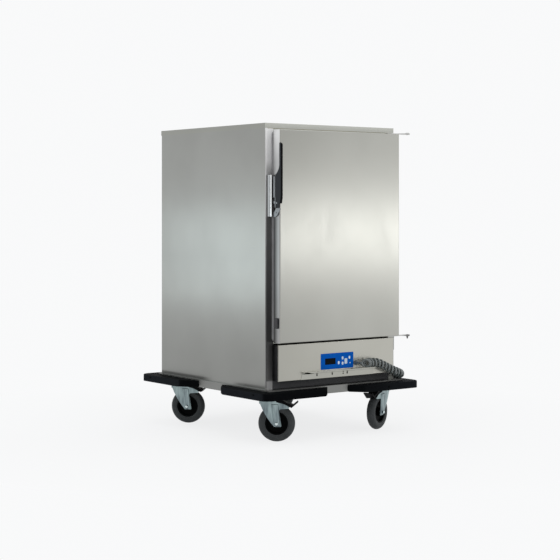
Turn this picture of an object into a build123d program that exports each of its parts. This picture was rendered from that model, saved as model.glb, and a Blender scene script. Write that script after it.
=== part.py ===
from build123d import *
import os
from math import cos, sin, pi, radians, sqrt

import numpy

os.makedirs("parts", exist_ok=True)

# Heated banquet trolley. Millimetres, +Z up, door facing -Y, hinged on the +X side.
# The origin lies on the floor, under the centre of the four corner bumpers.

# Cabinet
cabinet_width = 730
cabinet_depth = 830
roof_wall = 52
cabinet_setback = 15
sheet = 1.2
side_fold = 12
roof_band = 22
roof_overhang = 5
frame_plate = 4
frame_edge = 5
frame_lap = 2
post_width = 30

# Warm compartment
side_wall = 65
cavity_height = 875
back_wall = 46
sill_height = 28
sleeve_depth = 18
slab_gap = 0.3

# Pan racks: a pan 530 wide and 650 long rests on each pair of rails
pan_pitch = 75
first_pan = 58
pan_clear_width = 536
rail_flange = 20
rail_drop = 16
rail_length = 660
rail_thickness = 1.5
upright_width = 25
upright_wall = 1.5
upright_spread = 520
rack_offset = 20

# Base frame and corner bumpers
base_side_ledge = 12.5
base_end_ledge = 27.5
base_height = 34
base_wall = 2.5
base_side_flange = 110
base_end_flange = 40
bumper_reach = 62.5
bumper_leg = 333
bumper_sweep_x = 50
bumper_sweep_y = 80
bumper_height = 31
bumper_drop = 2
bumper_corner = 45
bumper_edge = 4
bumper_end_round = 10

# Door
door_side_gap = 26
door_top_lap = 22
door_thickness = 44
door_lift = 9
door_skin_wall = 1
door_edge = 4
liner_raise = 12
liner_border = 48
gasket_width = 14
gasket_inset = 5
gasket_depth = 21.5
seal_gap = 0.5
catch_width = 24
catch_height = 45
catch_depth = 8
catch_rise = 63

# Door hinge
hinge_offset = 46
hinge_plate = 3
hinge_gap = 0.3
hinge_pin_radius = 5
hinge_pin_end = 1
hinge_head_radius = 7
hinge_head = 3
pivot_clearance = 0.05
hinge_eye_radius = 11
hinge_strap_reach = 60
hinge_strap_width = 24
bracket_flange_length = 55
bracket_flange_height = 64
bracket_flange_wall = 4
pin_tail = 12

# Heating module
panel_side_gap = 39
panel_height = 158
panel_proud = 44
panel_gap = 3
panel_return = 8
panel_bend = 2.5
toe_height = 35
module_side_gap = 16
module_back_gap = 101
plinth_gap = 1
module_rim = 4
runner_width = 40
runner_spacing = 500
runner_setback = 95

# Keypad and display
label_width = 185
label_height = 70
label_offset = -3.5
label_drop = 51
foil = 0.6
display_width = 59
display_height = 27
display_offset = -39
display_level = -0.5
display_depth = 8
board_thickness = 1.6
board_margin = 6
key_width = 10
key_height = 14
key_column = 30.5
key_spread = 23
power_key_width = 15.5
power_key_height = 24
power_key_column = 49.1
power_key_level = -4
key_clearance = 0.3
key_proud = 0.9
key_rim = 2
key_rim_thickness = 1.2
key_play = 0.5

# Grip ledge under the label
ledge_width = 402
ledge_offset = 4
ledge_top = 33
ledge_reach = 18
ledge_lip = 5
ledge_plate_height = 32
ledge_slant = 9
gusset_places = (-118, -32, 30, 53)
gusset_height = 13

# Fan and heater, under the floor of the warm compartment
fan_setback = 105
fan_radius = 85
fan_blades = 8
fan_blade_height = 44
fan_blade_radius = 75
fan_blade_thickness = 2
fan_disc = 2
fan_hub_radius = 14
fan_shaft_radius = 4
motor_radius = 40
motor_height = 58
motor_flange = 10
fan_lift = 6
heater_ring_radius = 108
heater_tube_radius = 4.25
heater_height = 80
heater_bend = 18
heater_gap_angle = 40
slot_width = 8
slot_length = 150
slot_pitch = 20
slots_per_group = 9
outlet_spread = 440

# Latch on the door's free edge
latch_level = 601
latch_base = 2
latch_strip_depth = 14
latch_strip_proud = 6
latch_strip_height = 92
latch_strip_rise = 23
latch_base_drop = 20
latch_bracket_wall = 4.5
latch_pin_radius = 3
latch_pin_setback = 10
latch_head = 1.5
latch_head_lip = 1.2
# Slanting bracket under the lever, measured from the latch pin
latch_bracket_outline = [(-12, -15), (-16, -27), (4, -54), (18, -60), (31, -58), (31, -46), (10, -22), (10, -15)]
latch_screw_spot = (9, -42)
latch_screw_radius = 2.5
lever_thickness = 3.3
lever_width = 12.5
lever_standoff = 7
lever_bar_depth = 10.5
lever_length = 258
lever_wide_length = 122
lever_slant = 34
lever_tail = 22
lever_foot_reach = 16
lever_back = 10
lever_bar_rise = 8
lever_bar_tail = 2
lever_bar_end = 1.5
lever_round_width = 10
lever_round_height = 17
hook_thickness = 3
hook_height = 15
latch_gap = 0.2
keeper_width = 6
keeper_height = 179
keeper_reach = 21
keeper_flange = 5
keeper_drop = 58
keeper_edge_gap = 6
peg_radius = 3
peg_length = 5
peg_setback = 14

# Push handles on the rear
handle_radius = 12.5
handle_standoff = 55
handle_height = 400
handle_level = 560
handle_spacing = 580
handle_bend = 38
rosette_radius = 24
rosette_thickness = 3

# Casters
caster_height = 195
wheel_radius = 80
tyre_width = 38
tyre_crown = 12
hub_radius = 50
hub_length = 45
hub_bore_clearance = 0.08
hub_web = 14
hub_boss_radius = 19
hub_rim = 7
axle_radius = 6
axle_clearance = 0.05
axle_head = 4
axle_head_radius = 7
caster_trail = 50
caster_inset_front = (44.5, 86.5)
caster_inset_rear = (52.5, 92.5)
plate_length = 120
plate_width = 86
plate_thickness = 4
race_radius = 32
race_height = 12.7
swivel_gap = 0.3
king_pin_radius = 8
king_pin_head_radius = 11
king_pin_head = 3.5
fork_gap = 46
fork_leg = 3.5
crown_thickness = 12
crown_lead = 25
crown_reach = 31
foot_corner = 4
wing_radius = 90
wing_reach = 62
wing_shoulder_reach = 13
wing_crest_reach = 40
# Side view of a fork leg and its rib, measured from the wheel's centre
foot_front_point = (-9.5, -13.5)
foot_rear_point = (21.5, -13.5)
leg_bow_point = (-58, 57)
leg_waist_point = (11, 57)
wing_root_point = (17, 62.5)
rib_outline = [(-22, 84), (-16.5, 26), (-7.5, -11.5), (17.5, -11.5), (14, 26), (8.5, 84)]
rib_height = 4
rib_draft = 25
# Side view of the pedal, measured from its pin: upper edge, lip and lower edge
pedal_outline = [
    (0, 5.5),
    (35, 1.5),
    (50, -6.5),
    (79, -16.5),
    (97.5, -1.5),
    (100.5, -5),
    (81.5, -21.5),
    (72, -29.5),
    (62, -24.5),
    (45, -15.5),
    (22, -9),
    (0, -5.5),
]
pedal_play = 0.7
pedal_pivot_reach = 43
pedal_pivot_drop = 1
pedal_boss_radius = 5.5
pedal_pin_radius = 3
# Each caster trails its own way: which side, which end, and its heading in degrees
casters = {
    "front_left": (-1, -1, -40),
    "front_right": (1, -1, -157),
    "rear_left": (-1, 1, -48),
    "rear_right": (1, 1, 143.1),
}

# Curly cord and plug
cord_diameter = 9.6
coil_diameter = 42
curl_pitch = 19.5
curl_ramp = 26
gland_offset = 101.6
gland_level = 58
gland_radius = 12
gland_flange = 4
gland_length = 22
gland_tip_radius = 7
plug_radius = 19
plug_length = 38
plug_neck = 22
plug_neck_radius = 9
plug_pin_radius = 2.4
plug_pin_length = 19
plug_pin_spacing = 19
# Middle of the coil, from the gland's tip, over the ledge, round the corner and along the bumper
coil_route = [
    (101.6, -466, 322),
    (101.6, -487, 322),
    (124, -491, 321),
    (151, -470, 319.6),
    (184, -468, 320.2),
    (220, -468, 314),
    (258, -467.5, 296),
    (296, -467, 279),
    (332, -464, 266),
    (364, -447, 256),
    (390, -414, 250.5),
    (397, -374, 246.5),
    (399, -338, 245.8),
    (399, -302, 245.6),
    (400, -275, 243.6),
    (400, -254, 243.6),
]

# Heights, widths and depths that follow from the sizes above
base_bottom = caster_height
cabinet_bottom = base_bottom + base_height
panel_bottom = cabinet_bottom + toe_height
panel_top = panel_bottom + panel_height
cavity_floor = panel_top + sill_height
cavity_top = cavity_floor + cavity_height
cabinet_top = cavity_top + roof_wall
cabinet_height = cabinet_top - cabinet_bottom
door_bottom = panel_top + door_lift
door_top = cavity_top + door_top_lap
door_height = door_top - door_bottom
frame_top = cabinet_top - roof_band - frame_lap
half_width = cabinet_width / 2
cavity_width = cabinet_width - 2 * side_wall
door_width = cabinet_width - 2 * door_side_gap
panel_width = cabinet_width - 2 * panel_side_gap
module_width = panel_width - 2 * module_side_gap
base_width = cabinet_width + 2 * base_side_ledge
base_depth = cabinet_depth + 2 * base_end_ledge
front = cabinet_setback - cabinet_depth / 2
rear = cabinet_setback + cabinet_depth / 2
frame_face = front - frame_plate
liner_front = frame_face + sleeve_depth
liner_back = rear - back_wall
cavity_depth = liner_back - liner_front
pan_levels = 1 + int((cavity_height - first_pan - rail_drop) / pan_pitch)
door_back = frame_face - seal_gap - gasket_depth
door_face = door_back - door_thickness
panel_face = front - panel_proud
half_door = door_width / 2
pivot_x = half_width + hinge_offset
pivot_y = (door_face + door_back) / 2 + 4

# Upright plane whose local x and y are X and Z, looking out of the front
facing = Plane(origin=(0, 0, 0), x_dir=(1, 0, 0), z_dir=(0, -1, 0))


def at_height(z):
    """Level plane at a height."""
    return Plane.XY.offset(z)


def at_depth(y):
    """Upright plane at a depth, looking out of the front."""
    return facing.offset(-y)


def write(piece, node):
    """Label one finished piece and write it to its own file."""
    piece.label = node
    export_step(piece, f"parts/{node}.step")


# Roof: a shallow tray upside down, with a folded band all round
with BuildPart() as roof_cap:
    with BuildSketch(at_height(cabinet_top)):
        with Locations((0, (front + rear + roof_overhang) / 2)):
            Rectangle(cabinet_width, cabinet_depth + roof_overhang)
    extrude(amount=-roof_band)
    offset(amount=-sheet, openings=roof_cap.faces().sort_by(Axis.Z)[0])
write(roof_cap.part, "roof_cap")

# Side sheets, each with an inward fold along its front edge
panel_rise = cabinet_height - roof_band
for side, name in ((-1, "side_panel_left"), (1, "side_panel_right")):
    with BuildPart() as side_panel:
        with BuildSketch(at_height(cabinet_bottom)):
            with Locations((side * (half_width - sheet / 2), cabinet_setback)):
                Rectangle(sheet, cabinet_depth)
            with Locations((side * (half_width - side_fold / 2), front + sheet / 2)):
                Rectangle(side_fold, sheet)
        extrude(amount=panel_rise)
    write(side_panel.part, name)

# Rear sheet between the side sheets
with BuildPart() as back_panel:
    with BuildSketch(at_height(cabinet_bottom)):
        with Locations((0, rear - sheet / 2)):
            Rectangle(cabinet_width - 2 * sheet, sheet)
    extrude(amount=panel_rise)
write(back_panel.part, "back_panel")

# Front frame: a plate round the door opening, open below for the heating module,
# with a sleeve that leads into the warm compartment
frame_width = cabinet_width - 2 * frame_edge
cavity_middle = (cavity_floor + cavity_top) / 2
with BuildPart() as front_frame:
    with BuildSketch(at_depth(front)):
        with Locations((0, (cabinet_bottom + frame_top) / 2)):
            Rectangle(frame_width, frame_top - cabinet_bottom)
        with Locations((0, (cabinet_bottom + panel_top + panel_gap) / 2)):
            module_bay = frame_width - 2 * post_width
            Rectangle(module_bay, panel_top + panel_gap - cabinet_bottom, mode=Mode.SUBTRACT)
    extrude(amount=frame_plate)
    with BuildSketch(at_depth(liner_front)):
        with Locations((0, cavity_middle)):
            Rectangle(cavity_width + 2 * sheet, cavity_height + 2 * sheet)
    extrude(amount=sleeve_depth)
    with BuildSketch(at_depth(liner_front)):
        with Locations((0, cavity_middle)):
            Rectangle(cavity_width, cavity_height)
    extrude(amount=sleeve_depth, mode=Mode.SUBTRACT)
write(front_frame.part, "front_frame")

# Warm compartment: welded box, open in front, with air slots in its floor
fan_y = cabinet_setback + fan_setback
with BuildPart() as inner_liner:
    with BuildSketch(at_depth(liner_back + sheet)):
        with Locations((0, cavity_middle)):
            Rectangle(cavity_width + 2 * sheet, cavity_height + 2 * sheet)
    extrude(amount=cavity_depth + sheet)
    with BuildSketch(at_depth(liner_back)):
        with Locations((0, cavity_middle)):
            Rectangle(cavity_width, cavity_height)
    extrude(amount=cavity_depth, mode=Mode.SUBTRACT)
    with BuildSketch(at_height(cavity_floor)):
        with Locations((0, fan_y)):
            with GridLocations(slot_pitch, 0, slots_per_group, 1):
                Rectangle(slot_width, slot_length)
        with Locations((-outlet_spread / 2, fan_y), (outlet_spread / 2, fan_y)):
            with GridLocations(slot_pitch, 0, 3, 1):
                Rectangle(slot_width, slot_length)
    extrude(amount=-sheet, mode=Mode.SUBTRACT)
write(inner_liner.part, "inner_liner")

# Insulation between the sheets: two sides, top, back and floor slabs
slab_side = half_width - sheet - slab_gap
slab_hole = cavity_width / 2 + sheet + slab_gap
slab_bottom = panel_top + panel_gap + slab_gap
slab_top = cabinet_top - sheet - slab_gap
slab_rear = rear - sheet - slab_gap
slab_front = front + sheet + slab_gap
liner_underside = cavity_floor - sheet - slab_gap
liner_topside = cavity_top + sheet + slab_gap
with BuildPart() as cabinet_insulation:
    for side in (-1, 1):
        with BuildSketch(at_height(slab_bottom)):
            with Locations((side * (slab_hole + slab_side) / 2, (slab_front + slab_rear) / 2)):
                Rectangle(slab_side - slab_hole, slab_rear - slab_front)
        extrude(amount=slab_top - slab_bottom)
    with BuildSketch(at_height(liner_topside)):
        with Locations((0, (slab_front + slab_rear) / 2)):
            Rectangle(2 * slab_hole - 2 * slab_gap, slab_rear - slab_front)
    extrude(amount=slab_top - liner_topside)
    with BuildSketch(at_depth(slab_rear)):
        with Locations((0, (slab_bottom + liner_topside - slab_gap) / 2)):
            Rectangle(2 * slab_hole - 2 * slab_gap, liner_topside - slab_gap - slab_bottom)
    extrude(amount=slab_rear - liner_back - sheet - slab_gap)
    with BuildSketch(at_height(slab_bottom)):
        with Locations((0, (slab_front + liner_back) / 2)):
            Rectangle(2 * slab_hole - 2 * slab_gap, liner_back - slab_front)
        with Locations((0, fan_y)):
            duct = outlet_spread + slots_per_group * slot_pitch / 2
            Rectangle(duct, slot_length + slot_pitch, mode=Mode.SUBTRACT)
    extrude(amount=liner_underside - slab_bottom)
write(cabinet_insulation.part, "cabinet_insulation")

# Pan racks: on each side two uprights against the liner and a rail for every pan
rail_side = pan_clear_width / 2 + rail_thickness
rack_y = (liner_front + liner_back) / 2 - rack_offset
rack_height = first_pan + (pan_levels - 1) * pan_pitch + rail_drop
rack_pieces = []
for side in (-1, 1):
    with BuildPart() as upright:
        with BuildSketch(at_height(cavity_floor)):
            with Locations((side * (cavity_width / 2 + rail_side) / 2, rack_y - upright_spread / 2)):
                Rectangle(cavity_width / 2 - rail_side, upright_width)
                hollow = cavity_width / 2 - rail_side - 2 * upright_wall
                Rectangle(hollow, upright_width - 2 * upright_wall, mode=Mode.SUBTRACT)
        extrude(amount=rack_height)
    with BuildPart() as rail:
        with BuildSketch(at_depth(rack_y + rail_length / 2)):
            with BuildLine():
                rail_top = cavity_floor + first_pan
                Polyline(
                    (side * rail_side, rail_top),
                    (side * (rail_side - rail_flange), rail_top),
                    (side * (rail_side - rail_flange), rail_top - rail_thickness),
                    (side * (rail_side - rail_thickness), rail_top - rail_thickness),
                    (side * (rail_side - rail_thickness), rail_top - rail_drop),
                    (side * rail_side, rail_top - rail_drop),
                    close=True,
                )
            make_face()
        extrude(amount=rail_length)
    rack_pieces.append(upright.part)
    rack_pieces.append(upright.part.moved(Location((0, upright_spread, 0))))
    for level in range(pan_levels):
        rack_pieces.append(rail.part.moved(Location((0, 0, level * pan_pitch))))
write(Compound(children=rack_pieces), "pan_racks")

# Base frame: a pan upside down, with inward flanges for the caster plates
with BuildPart() as base_frame:
    with BuildSketch(at_height(base_bottom)):
        Rectangle(base_width, base_depth)
    extrude(amount=base_height)
    with BuildSketch(at_height(base_bottom + base_wall)):
        Rectangle(base_width - 2 * base_wall, base_depth - 2 * base_wall)
    extrude(amount=base_height - 2 * base_wall, mode=Mode.SUBTRACT)
    with BuildSketch(at_height(base_bottom)):
        Rectangle(base_width - 2 * base_side_flange, base_depth - 2 * base_end_flange)
    extrude(amount=base_wall, mode=Mode.SUBTRACT)
write(base_frame.part, "base_frame")

# Corner bumpers: L-shaped in plan, rounded corner, softened edges and swept leg ends
bumper_bottom = base_bottom - bumper_drop
outer_x = base_width / 2 + bumper_reach
outer_y = base_depth / 2 + bumper_reach
for end, end_name in ((-1, "front"), (1, "rear")):
    for side, side_name in ((-1, "left"), (1, "right")):
        with BuildPart() as bumper:
            with BuildSketch(at_height(bumper_bottom)) as plan:
                with BuildLine():
                    Polyline(
                        (side * outer_x, end * outer_y),
                        (side * (outer_x - bumper_leg), end * outer_y),
                        (side * (outer_x - bumper_leg - bumper_sweep_x), end * base_depth / 2),
                        (side * base_width / 2, end * base_depth / 2),
                        (side * base_width / 2, end * (outer_y - bumper_leg - bumper_sweep_y)),
                        (side * outer_x, end * (outer_y - bumper_leg)),
                        close=True,
                    )
                make_face()
                outward = Axis((0, 0, 0), (side, end, 0))
                fillet(plan.vertices().sort_by(outward)[-1], radius=bumper_corner)
            extrude(amount=bumper_height)
            end_lengths = [sqrt(bumper_reach**2 + sweep**2) for sweep in (bumper_sweep_x, bumper_sweep_y)]
            leg_ends = [
                e for e in bumper.edges().group_by(Axis.Z)[0]
                if min(abs(e.length - end_length) for end_length in end_lengths) < 0.01
            ]
            fillet(leg_ends, radius=bumper_end_round)
            outer_edges = [
                e for e in bumper.edges().group_by(Axis.Z)[-1]
                if max(abs(e.center().X) - base_width / 2, abs(e.center().Y) - base_depth / 2) > bumper_reach * 0.6
            ]
            fillet(outer_edges, radius=bumper_edge)
        write(bumper.part, f"bumper_{end_name}_{side_name}")

# Door: outer pan, raised inner pan, insulation, gasket and the block on its free edge
door_middle = (door_bottom + door_top) / 2
with BuildPart() as door_skin:
    with BuildSketch(at_depth(door_back - door_skin_wall)):
        with Locations((0, door_middle)):
            Rectangle(door_width, door_height)
    extrude(amount=door_thickness - door_skin_wall)
    fillet(door_skin.edges().group_by(Axis.Y)[0], radius=door_edge)
    offset(amount=-door_skin_wall, openings=door_skin.faces().sort_by(Axis.Y)[-1])
write(door_skin.part, "door_skin")

raised_width = door_width - 2 * liner_border
raised_height = door_height - 2 * liner_border
with BuildPart() as door_liner:
    with BuildSketch(at_depth(door_back)):
        with Locations((0, door_middle)):
            Rectangle(door_width, door_height)
    extrude(amount=door_skin_wall)
    with BuildSketch(at_depth(door_back)):
        with Locations((0, door_middle)):
            Rectangle(raised_width, raised_height)
    extrude(amount=-liner_raise, taper=20)
    with BuildSketch(at_depth(door_back - door_skin_wall)):
        with Locations((0, door_middle)):
            Rectangle(raised_width - 2 * door_skin_wall, raised_height - 2 * door_skin_wall)
    extrude(amount=-liner_raise, taper=20, mode=Mode.SUBTRACT)
write(door_liner.part, "door_liner")

with BuildPart() as door_insulation:
    with BuildSketch(at_depth(door_back - door_skin_wall - slab_gap)):
        with Locations((0, door_middle)):
            slab_trim = 2 * door_edge
            Rectangle(door_width - slab_trim, door_height - slab_trim)
    extrude(amount=door_thickness - 2 * door_skin_wall - 2 * slab_gap)
write(door_insulation.part, "door_insulation")

with BuildPart() as door_gasket:
    with BuildSketch(at_depth(door_back)) as ring:
        with Locations((0, door_middle)):
            Rectangle(door_width - 2 * gasket_inset, door_height - 2 * gasket_inset)
        fillet(ring.vertices(), radius=gasket_width)
        with Locations((0, door_middle)):
            inset = 2 * gasket_inset + 2 * gasket_width
            Rectangle(door_width - inset, door_height - inset, mode=Mode.SUBTRACT)
    extrude(amount=-gasket_depth)
write(door_gasket.part, "door_gasket")

with BuildPart() as door_catch:
    with BuildSketch(Plane.YZ.offset(-half_door)):
        with Locations(((door_face + door_back) / 2, door_bottom + catch_rise + catch_height / 2)):
            RectangleRounded(catch_width, catch_height, 4)
    extrude(amount=-catch_depth)
    fillet(door_catch.faces().sort_by(Axis.X)[0].edges(), radius=1.5)
write(door_catch.part, "door_catch")

# Hinge straps on the door, with an eye round each pin
with BuildPart() as hinge_arms:
    for level in (door_top, door_bottom - hinge_plate):
        with BuildSketch(at_height(level)):
            with Locations((pivot_x, pivot_y)):
                Circle(hinge_eye_radius)
            with BuildLine():
                strap_end = half_door - hinge_strap_reach
                Polyline(
                    (pivot_x, pivot_y + hinge_eye_radius),
                    (strap_end, pivot_y + hinge_strap_width / 2 - 3),
                    (strap_end, pivot_y - hinge_strap_width / 2 - 3),
                    (pivot_x, pivot_y - hinge_eye_radius),
                    close=True,
                )
            make_face()
            with Locations((pivot_x, pivot_y)):
                Circle(hinge_pin_radius + pivot_clearance, mode=Mode.SUBTRACT)
        extrude(amount=hinge_plate)
write(hinge_arms.part, "hinge_arms")

# Hinge brackets on the right side sheet, each with its pin
with BuildPart() as hinge_brackets:
    for way in (1, -1):
        strap_face = door_top + hinge_plate if way == 1 else door_bottom - hinge_plate
        plate_inner = strap_face + way * hinge_gap
        with BuildSketch(at_height(plate_inner)):
            with Locations((pivot_x, pivot_y)):
                Circle(hinge_eye_radius)
            with BuildLine():
                Polyline(
                    (pivot_x + hinge_eye_radius, pivot_y),
                    (half_width + bracket_flange_wall, front + bracket_flange_length),
                    (half_width, front + bracket_flange_length),
                    (half_width, front + sheet),
                    (pivot_x, pivot_y - hinge_eye_radius),
                    close=True,
                )
            make_face()
        extrude(amount=way * hinge_plate)
        plate_outer = plate_inner + way * hinge_plate
        with BuildSketch(at_height(plate_outer)):
            with Locations((half_width + bracket_flange_wall / 2, front + bracket_flange_length / 2)):
                Rectangle(bracket_flange_wall, bracket_flange_length)
        extrude(amount=-bracket_flange_height)
        with BuildSketch(at_height(plate_outer)):
            with Locations((pivot_x, pivot_y)):
                Circle(hinge_pin_radius)
        extrude(amount=-way * (2 * hinge_plate + hinge_gap + hinge_pin_end))
    with BuildSketch(at_height(plate_outer)):
        with Locations((pivot_x, pivot_y)):
            Circle(hinge_pin_radius)
    extrude(amount=-pin_tail, taper=12)
    with BuildSketch(at_height(door_top + 2 * hinge_plate + hinge_gap)):
        with Locations((pivot_x, pivot_y)):
            Circle(hinge_head_radius)
    extrude(amount=hinge_head, taper=25)
write(hinge_brackets.part, "hinge_brackets")

# Latch. Its pin runs across the door's free edge and carries the lever and the claw.
pin_z = door_bottom + latch_level
pin_y = door_face + latch_pin_setback
edge_x = -half_door
claw_x = edge_x - latch_base - latch_gap
lever_x = claw_x - hook_thickness - latch_gap
with BuildPart() as latch_housing:
    with BuildSketch(Plane.YZ.offset(edge_x)) as base_outline:
        base_top = pin_z + latch_strip_rise + latch_strip_height
        base_low = pin_z - latch_base_drop
        with Locations(((door_face + door_back) / 2 + 2, (base_top + base_low) / 2)):
            Rectangle(door_thickness - 8, base_top - base_low)
        fillet(base_outline.vertices().sort_by(Axis.Y)[:2], radius=14)
    extrude(amount=-latch_base)
    with BuildSketch(Plane.YZ.offset(edge_x - latch_base)):
        with Locations((door_back - 6 - latch_strip_depth / 2, base_top - latch_strip_height / 2)):
            Rectangle(latch_strip_depth, latch_strip_height)
    extrude(amount=-latch_strip_proud)
    fillet(latch_housing.faces().sort_by(Axis.X)[0].edges(), radius=1.5)
    with BuildSketch(Plane.YZ.offset(edge_x)) as bracket:
        with BuildLine():
            Polyline([(pin_y + y, pin_z + z) for y, z in latch_bracket_outline], close=True)
        make_face()
        fillet(bracket.vertices(), radius=3)
        with Locations((pin_y + latch_screw_spot[0], pin_z + latch_screw_spot[1])):
            Circle(latch_screw_radius, mode=Mode.SUBTRACT)
    extrude(amount=-latch_bracket_wall)
    with BuildSketch(Plane.YZ.offset(edge_x - latch_base)):
        with Locations((pin_y, pin_z)):
            Circle(latch_pin_radius)
    pin_length = latch_gap * 3 + hook_thickness + lever_thickness
    extrude(amount=-pin_length)
    with BuildSketch(Plane.YZ.offset(edge_x - latch_base - pin_length)):
        with Locations((pin_y, pin_z)):
            Circle(latch_pin_radius + latch_head_lip)
    extrude(amount=-latch_head)
write(latch_housing.part, "latch_housing")

lever_front = door_face - lever_standoff - lever_bar_depth
lever_inner = lever_front + lever_bar_depth
lever_back_y = pin_y + lever_back
lever_tip = pin_z + lever_length
lever_foot = pin_z - lever_tail
with BuildPart() as latch_lever:
    with BuildSketch(Plane.YZ.offset(lever_x)):
        with BuildLine():
            Polyline(
                (lever_inner, lever_tip - 4),
                (lever_inner - 3, lever_tip),
                (lever_front + 3, lever_tip),
                (lever_front, lever_tip - 6),
                (lever_front, pin_z + lever_slant),
                (pin_y - lever_foot_reach, lever_foot),
                (lever_back_y, lever_foot),
                (lever_back_y, pin_z + lever_wide_length),
            )
            RadiusArc(
                (lever_back_y, pin_z + lever_wide_length),
                (lever_inner, pin_z + lever_wide_length + 40),
                56,
            )
            Line((lever_inner, pin_z + lever_wide_length + 40), (lever_inner, lever_tip - 4))
        make_face()
        with Locations((pin_y, pin_z)):
            Circle(latch_pin_radius + pivot_clearance, mode=Mode.SUBTRACT)
    extrude(amount=-lever_thickness)
    with BuildSketch(Plane.YZ.offset(lever_x - lever_thickness)):
        with BuildLine():
            slope = (pin_y - lever_foot_reach - lever_front) / (pin_z + lever_slant - lever_foot)
            Polyline(
                (lever_inner, lever_tip - 4),
                (lever_inner - 3, lever_tip),
                (lever_front + 3, lever_tip),
                (lever_front, lever_tip - 6),
                (lever_front, pin_z + lever_slant),
                (lever_front + (lever_slant + lever_bar_tail) * slope, pin_z - lever_bar_tail),
                (lever_inner - lever_bar_end, pin_z - lever_bar_tail),
                (lever_inner, pin_z + lever_bar_rise),
                close=True,
            )
        make_face()
    extrude(amount=lever_width)
    # Rounded outer corner of the grip's tip
    grip_edge = lever_x - lever_thickness + lever_width
    with BuildSketch(at_depth(lever_inner)):
        with BuildLine():
            Polyline(
                (grip_edge, lever_tip - lever_round_height),
                (grip_edge + 1, lever_tip - lever_round_height),
                (grip_edge + 1, lever_tip + 1),
                (grip_edge - lever_round_width, lever_tip + 1),
                (grip_edge - lever_round_width, lever_tip),
            )
            ThreePointArc(
                (grip_edge - lever_round_width, lever_tip),
                (grip_edge - lever_round_width * 0.3, lever_tip - lever_round_height * 0.3),
                (grip_edge, lever_tip - lever_round_height),
            )
        make_face()
    extrude(amount=lever_bar_depth, mode=Mode.SUBTRACT)
    grip_edges = latch_lever.edges().filter_by(Axis.Z).filter_by(lambda e: e.length > lever_length * 0.7)
    fillet(grip_edges.sort_by(Axis.Y)[:2], radius=3)
write(latch_lever.part, "latch_lever")

# Claw on the same pin: it reaches over the keeper's peg and drops behind it
peg_y = frame_face - peg_setback
claw_end = peg_y + peg_radius + 7
with BuildPart() as latch_hook:
    with BuildSketch(Plane.YZ.offset(claw_x)):
        with Locations((pin_y, pin_z)):
            Circle(hook_height / 2)
        with BuildLine():
            Polyline(
                (pin_y, pin_z - hook_height / 2),
                (peg_y - peg_radius - 4, pin_z - hook_height / 2 + 7),
                (peg_y - peg_radius - 1, pin_z - 2 + peg_radius + latch_gap),
                (peg_y + peg_radius + 1, pin_z - 2 + peg_radius + latch_gap),
                (peg_y + peg_radius + 1, pin_z - 8),
                (claw_end, pin_z - 10),
                (claw_end, pin_z + hook_height / 2),
                (pin_y, pin_z + hook_height / 2),
                close=True,
            )
        make_face()
        with Locations((pin_y, pin_z)):
            Circle(latch_pin_radius + pivot_clearance, mode=Mode.SUBTRACT)
    extrude(amount=-hook_thickness)
write(latch_hook.part, "latch_hook")

# Keeper on the front frame, with the peg that the claw catches
keeper_x = edge_x - keeper_edge_gap
keeper_low = pin_z - keeper_drop
with BuildPart() as latch_keeper:
    with BuildSketch(at_height(keeper_low)):
        with Locations((keeper_x - keeper_width / 2, frame_face - keeper_reach / 2)):
            Rectangle(keeper_width, keeper_reach)
        with Locations((keeper_x - keeper_width / 2 - keeper_flange / 2, frame_face - 1)):
            Rectangle(keeper_width + keeper_flange, 2)
    extrude(amount=keeper_height)
    fillet(latch_keeper.edges().filter_by(Axis.Z).sort_by(Axis.Y)[:2], radius=2)
    with BuildSketch(Plane.YZ.offset(keeper_x)):
        with Locations((peg_y, pin_z - 2)):
            Circle(peg_radius)
    extrude(amount=peg_length)
write(latch_keeper.part, "latch_keeper")

# Heating module: front cover, tray with runners, and what lies in it
with BuildPart() as control_panel:
    with BuildSketch(at_depth(panel_face + panel_return)):
        with Locations((0, (panel_bottom + panel_top) / 2)):
            Rectangle(panel_width, panel_height)
    extrude(amount=panel_return)
    fillet(control_panel.edges().group_by(Axis.Y)[0], radius=panel_bend)
    offset(amount=-sheet, openings=control_panel.faces().sort_by(Axis.Y)[-1])
    label_x = label_offset
    label_z = panel_top - label_drop - label_height / 2
    with BuildSketch(at_depth(panel_face)):
        with Locations((label_x + display_offset, label_z + display_level)):
            Rectangle(display_width + 2 * key_clearance, display_height + 2 * key_clearance)
        with Locations(
            (label_x + key_column, label_z - key_spread / 2 - 1),
            (label_x + key_column, label_z + key_spread / 2 - 1),
        ):
            RectangleRounded(key_width + 2 * key_clearance, key_height + 2 * key_clearance, 4)
        with Locations((label_x + power_key_column, label_z + power_key_level)):
            RectangleRounded(power_key_width + 2 * key_clearance, power_key_height + 2 * key_clearance, 2)
    extrude(amount=-sheet, mode=Mode.SUBTRACT)
write(control_panel.part, "control_panel")

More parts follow.
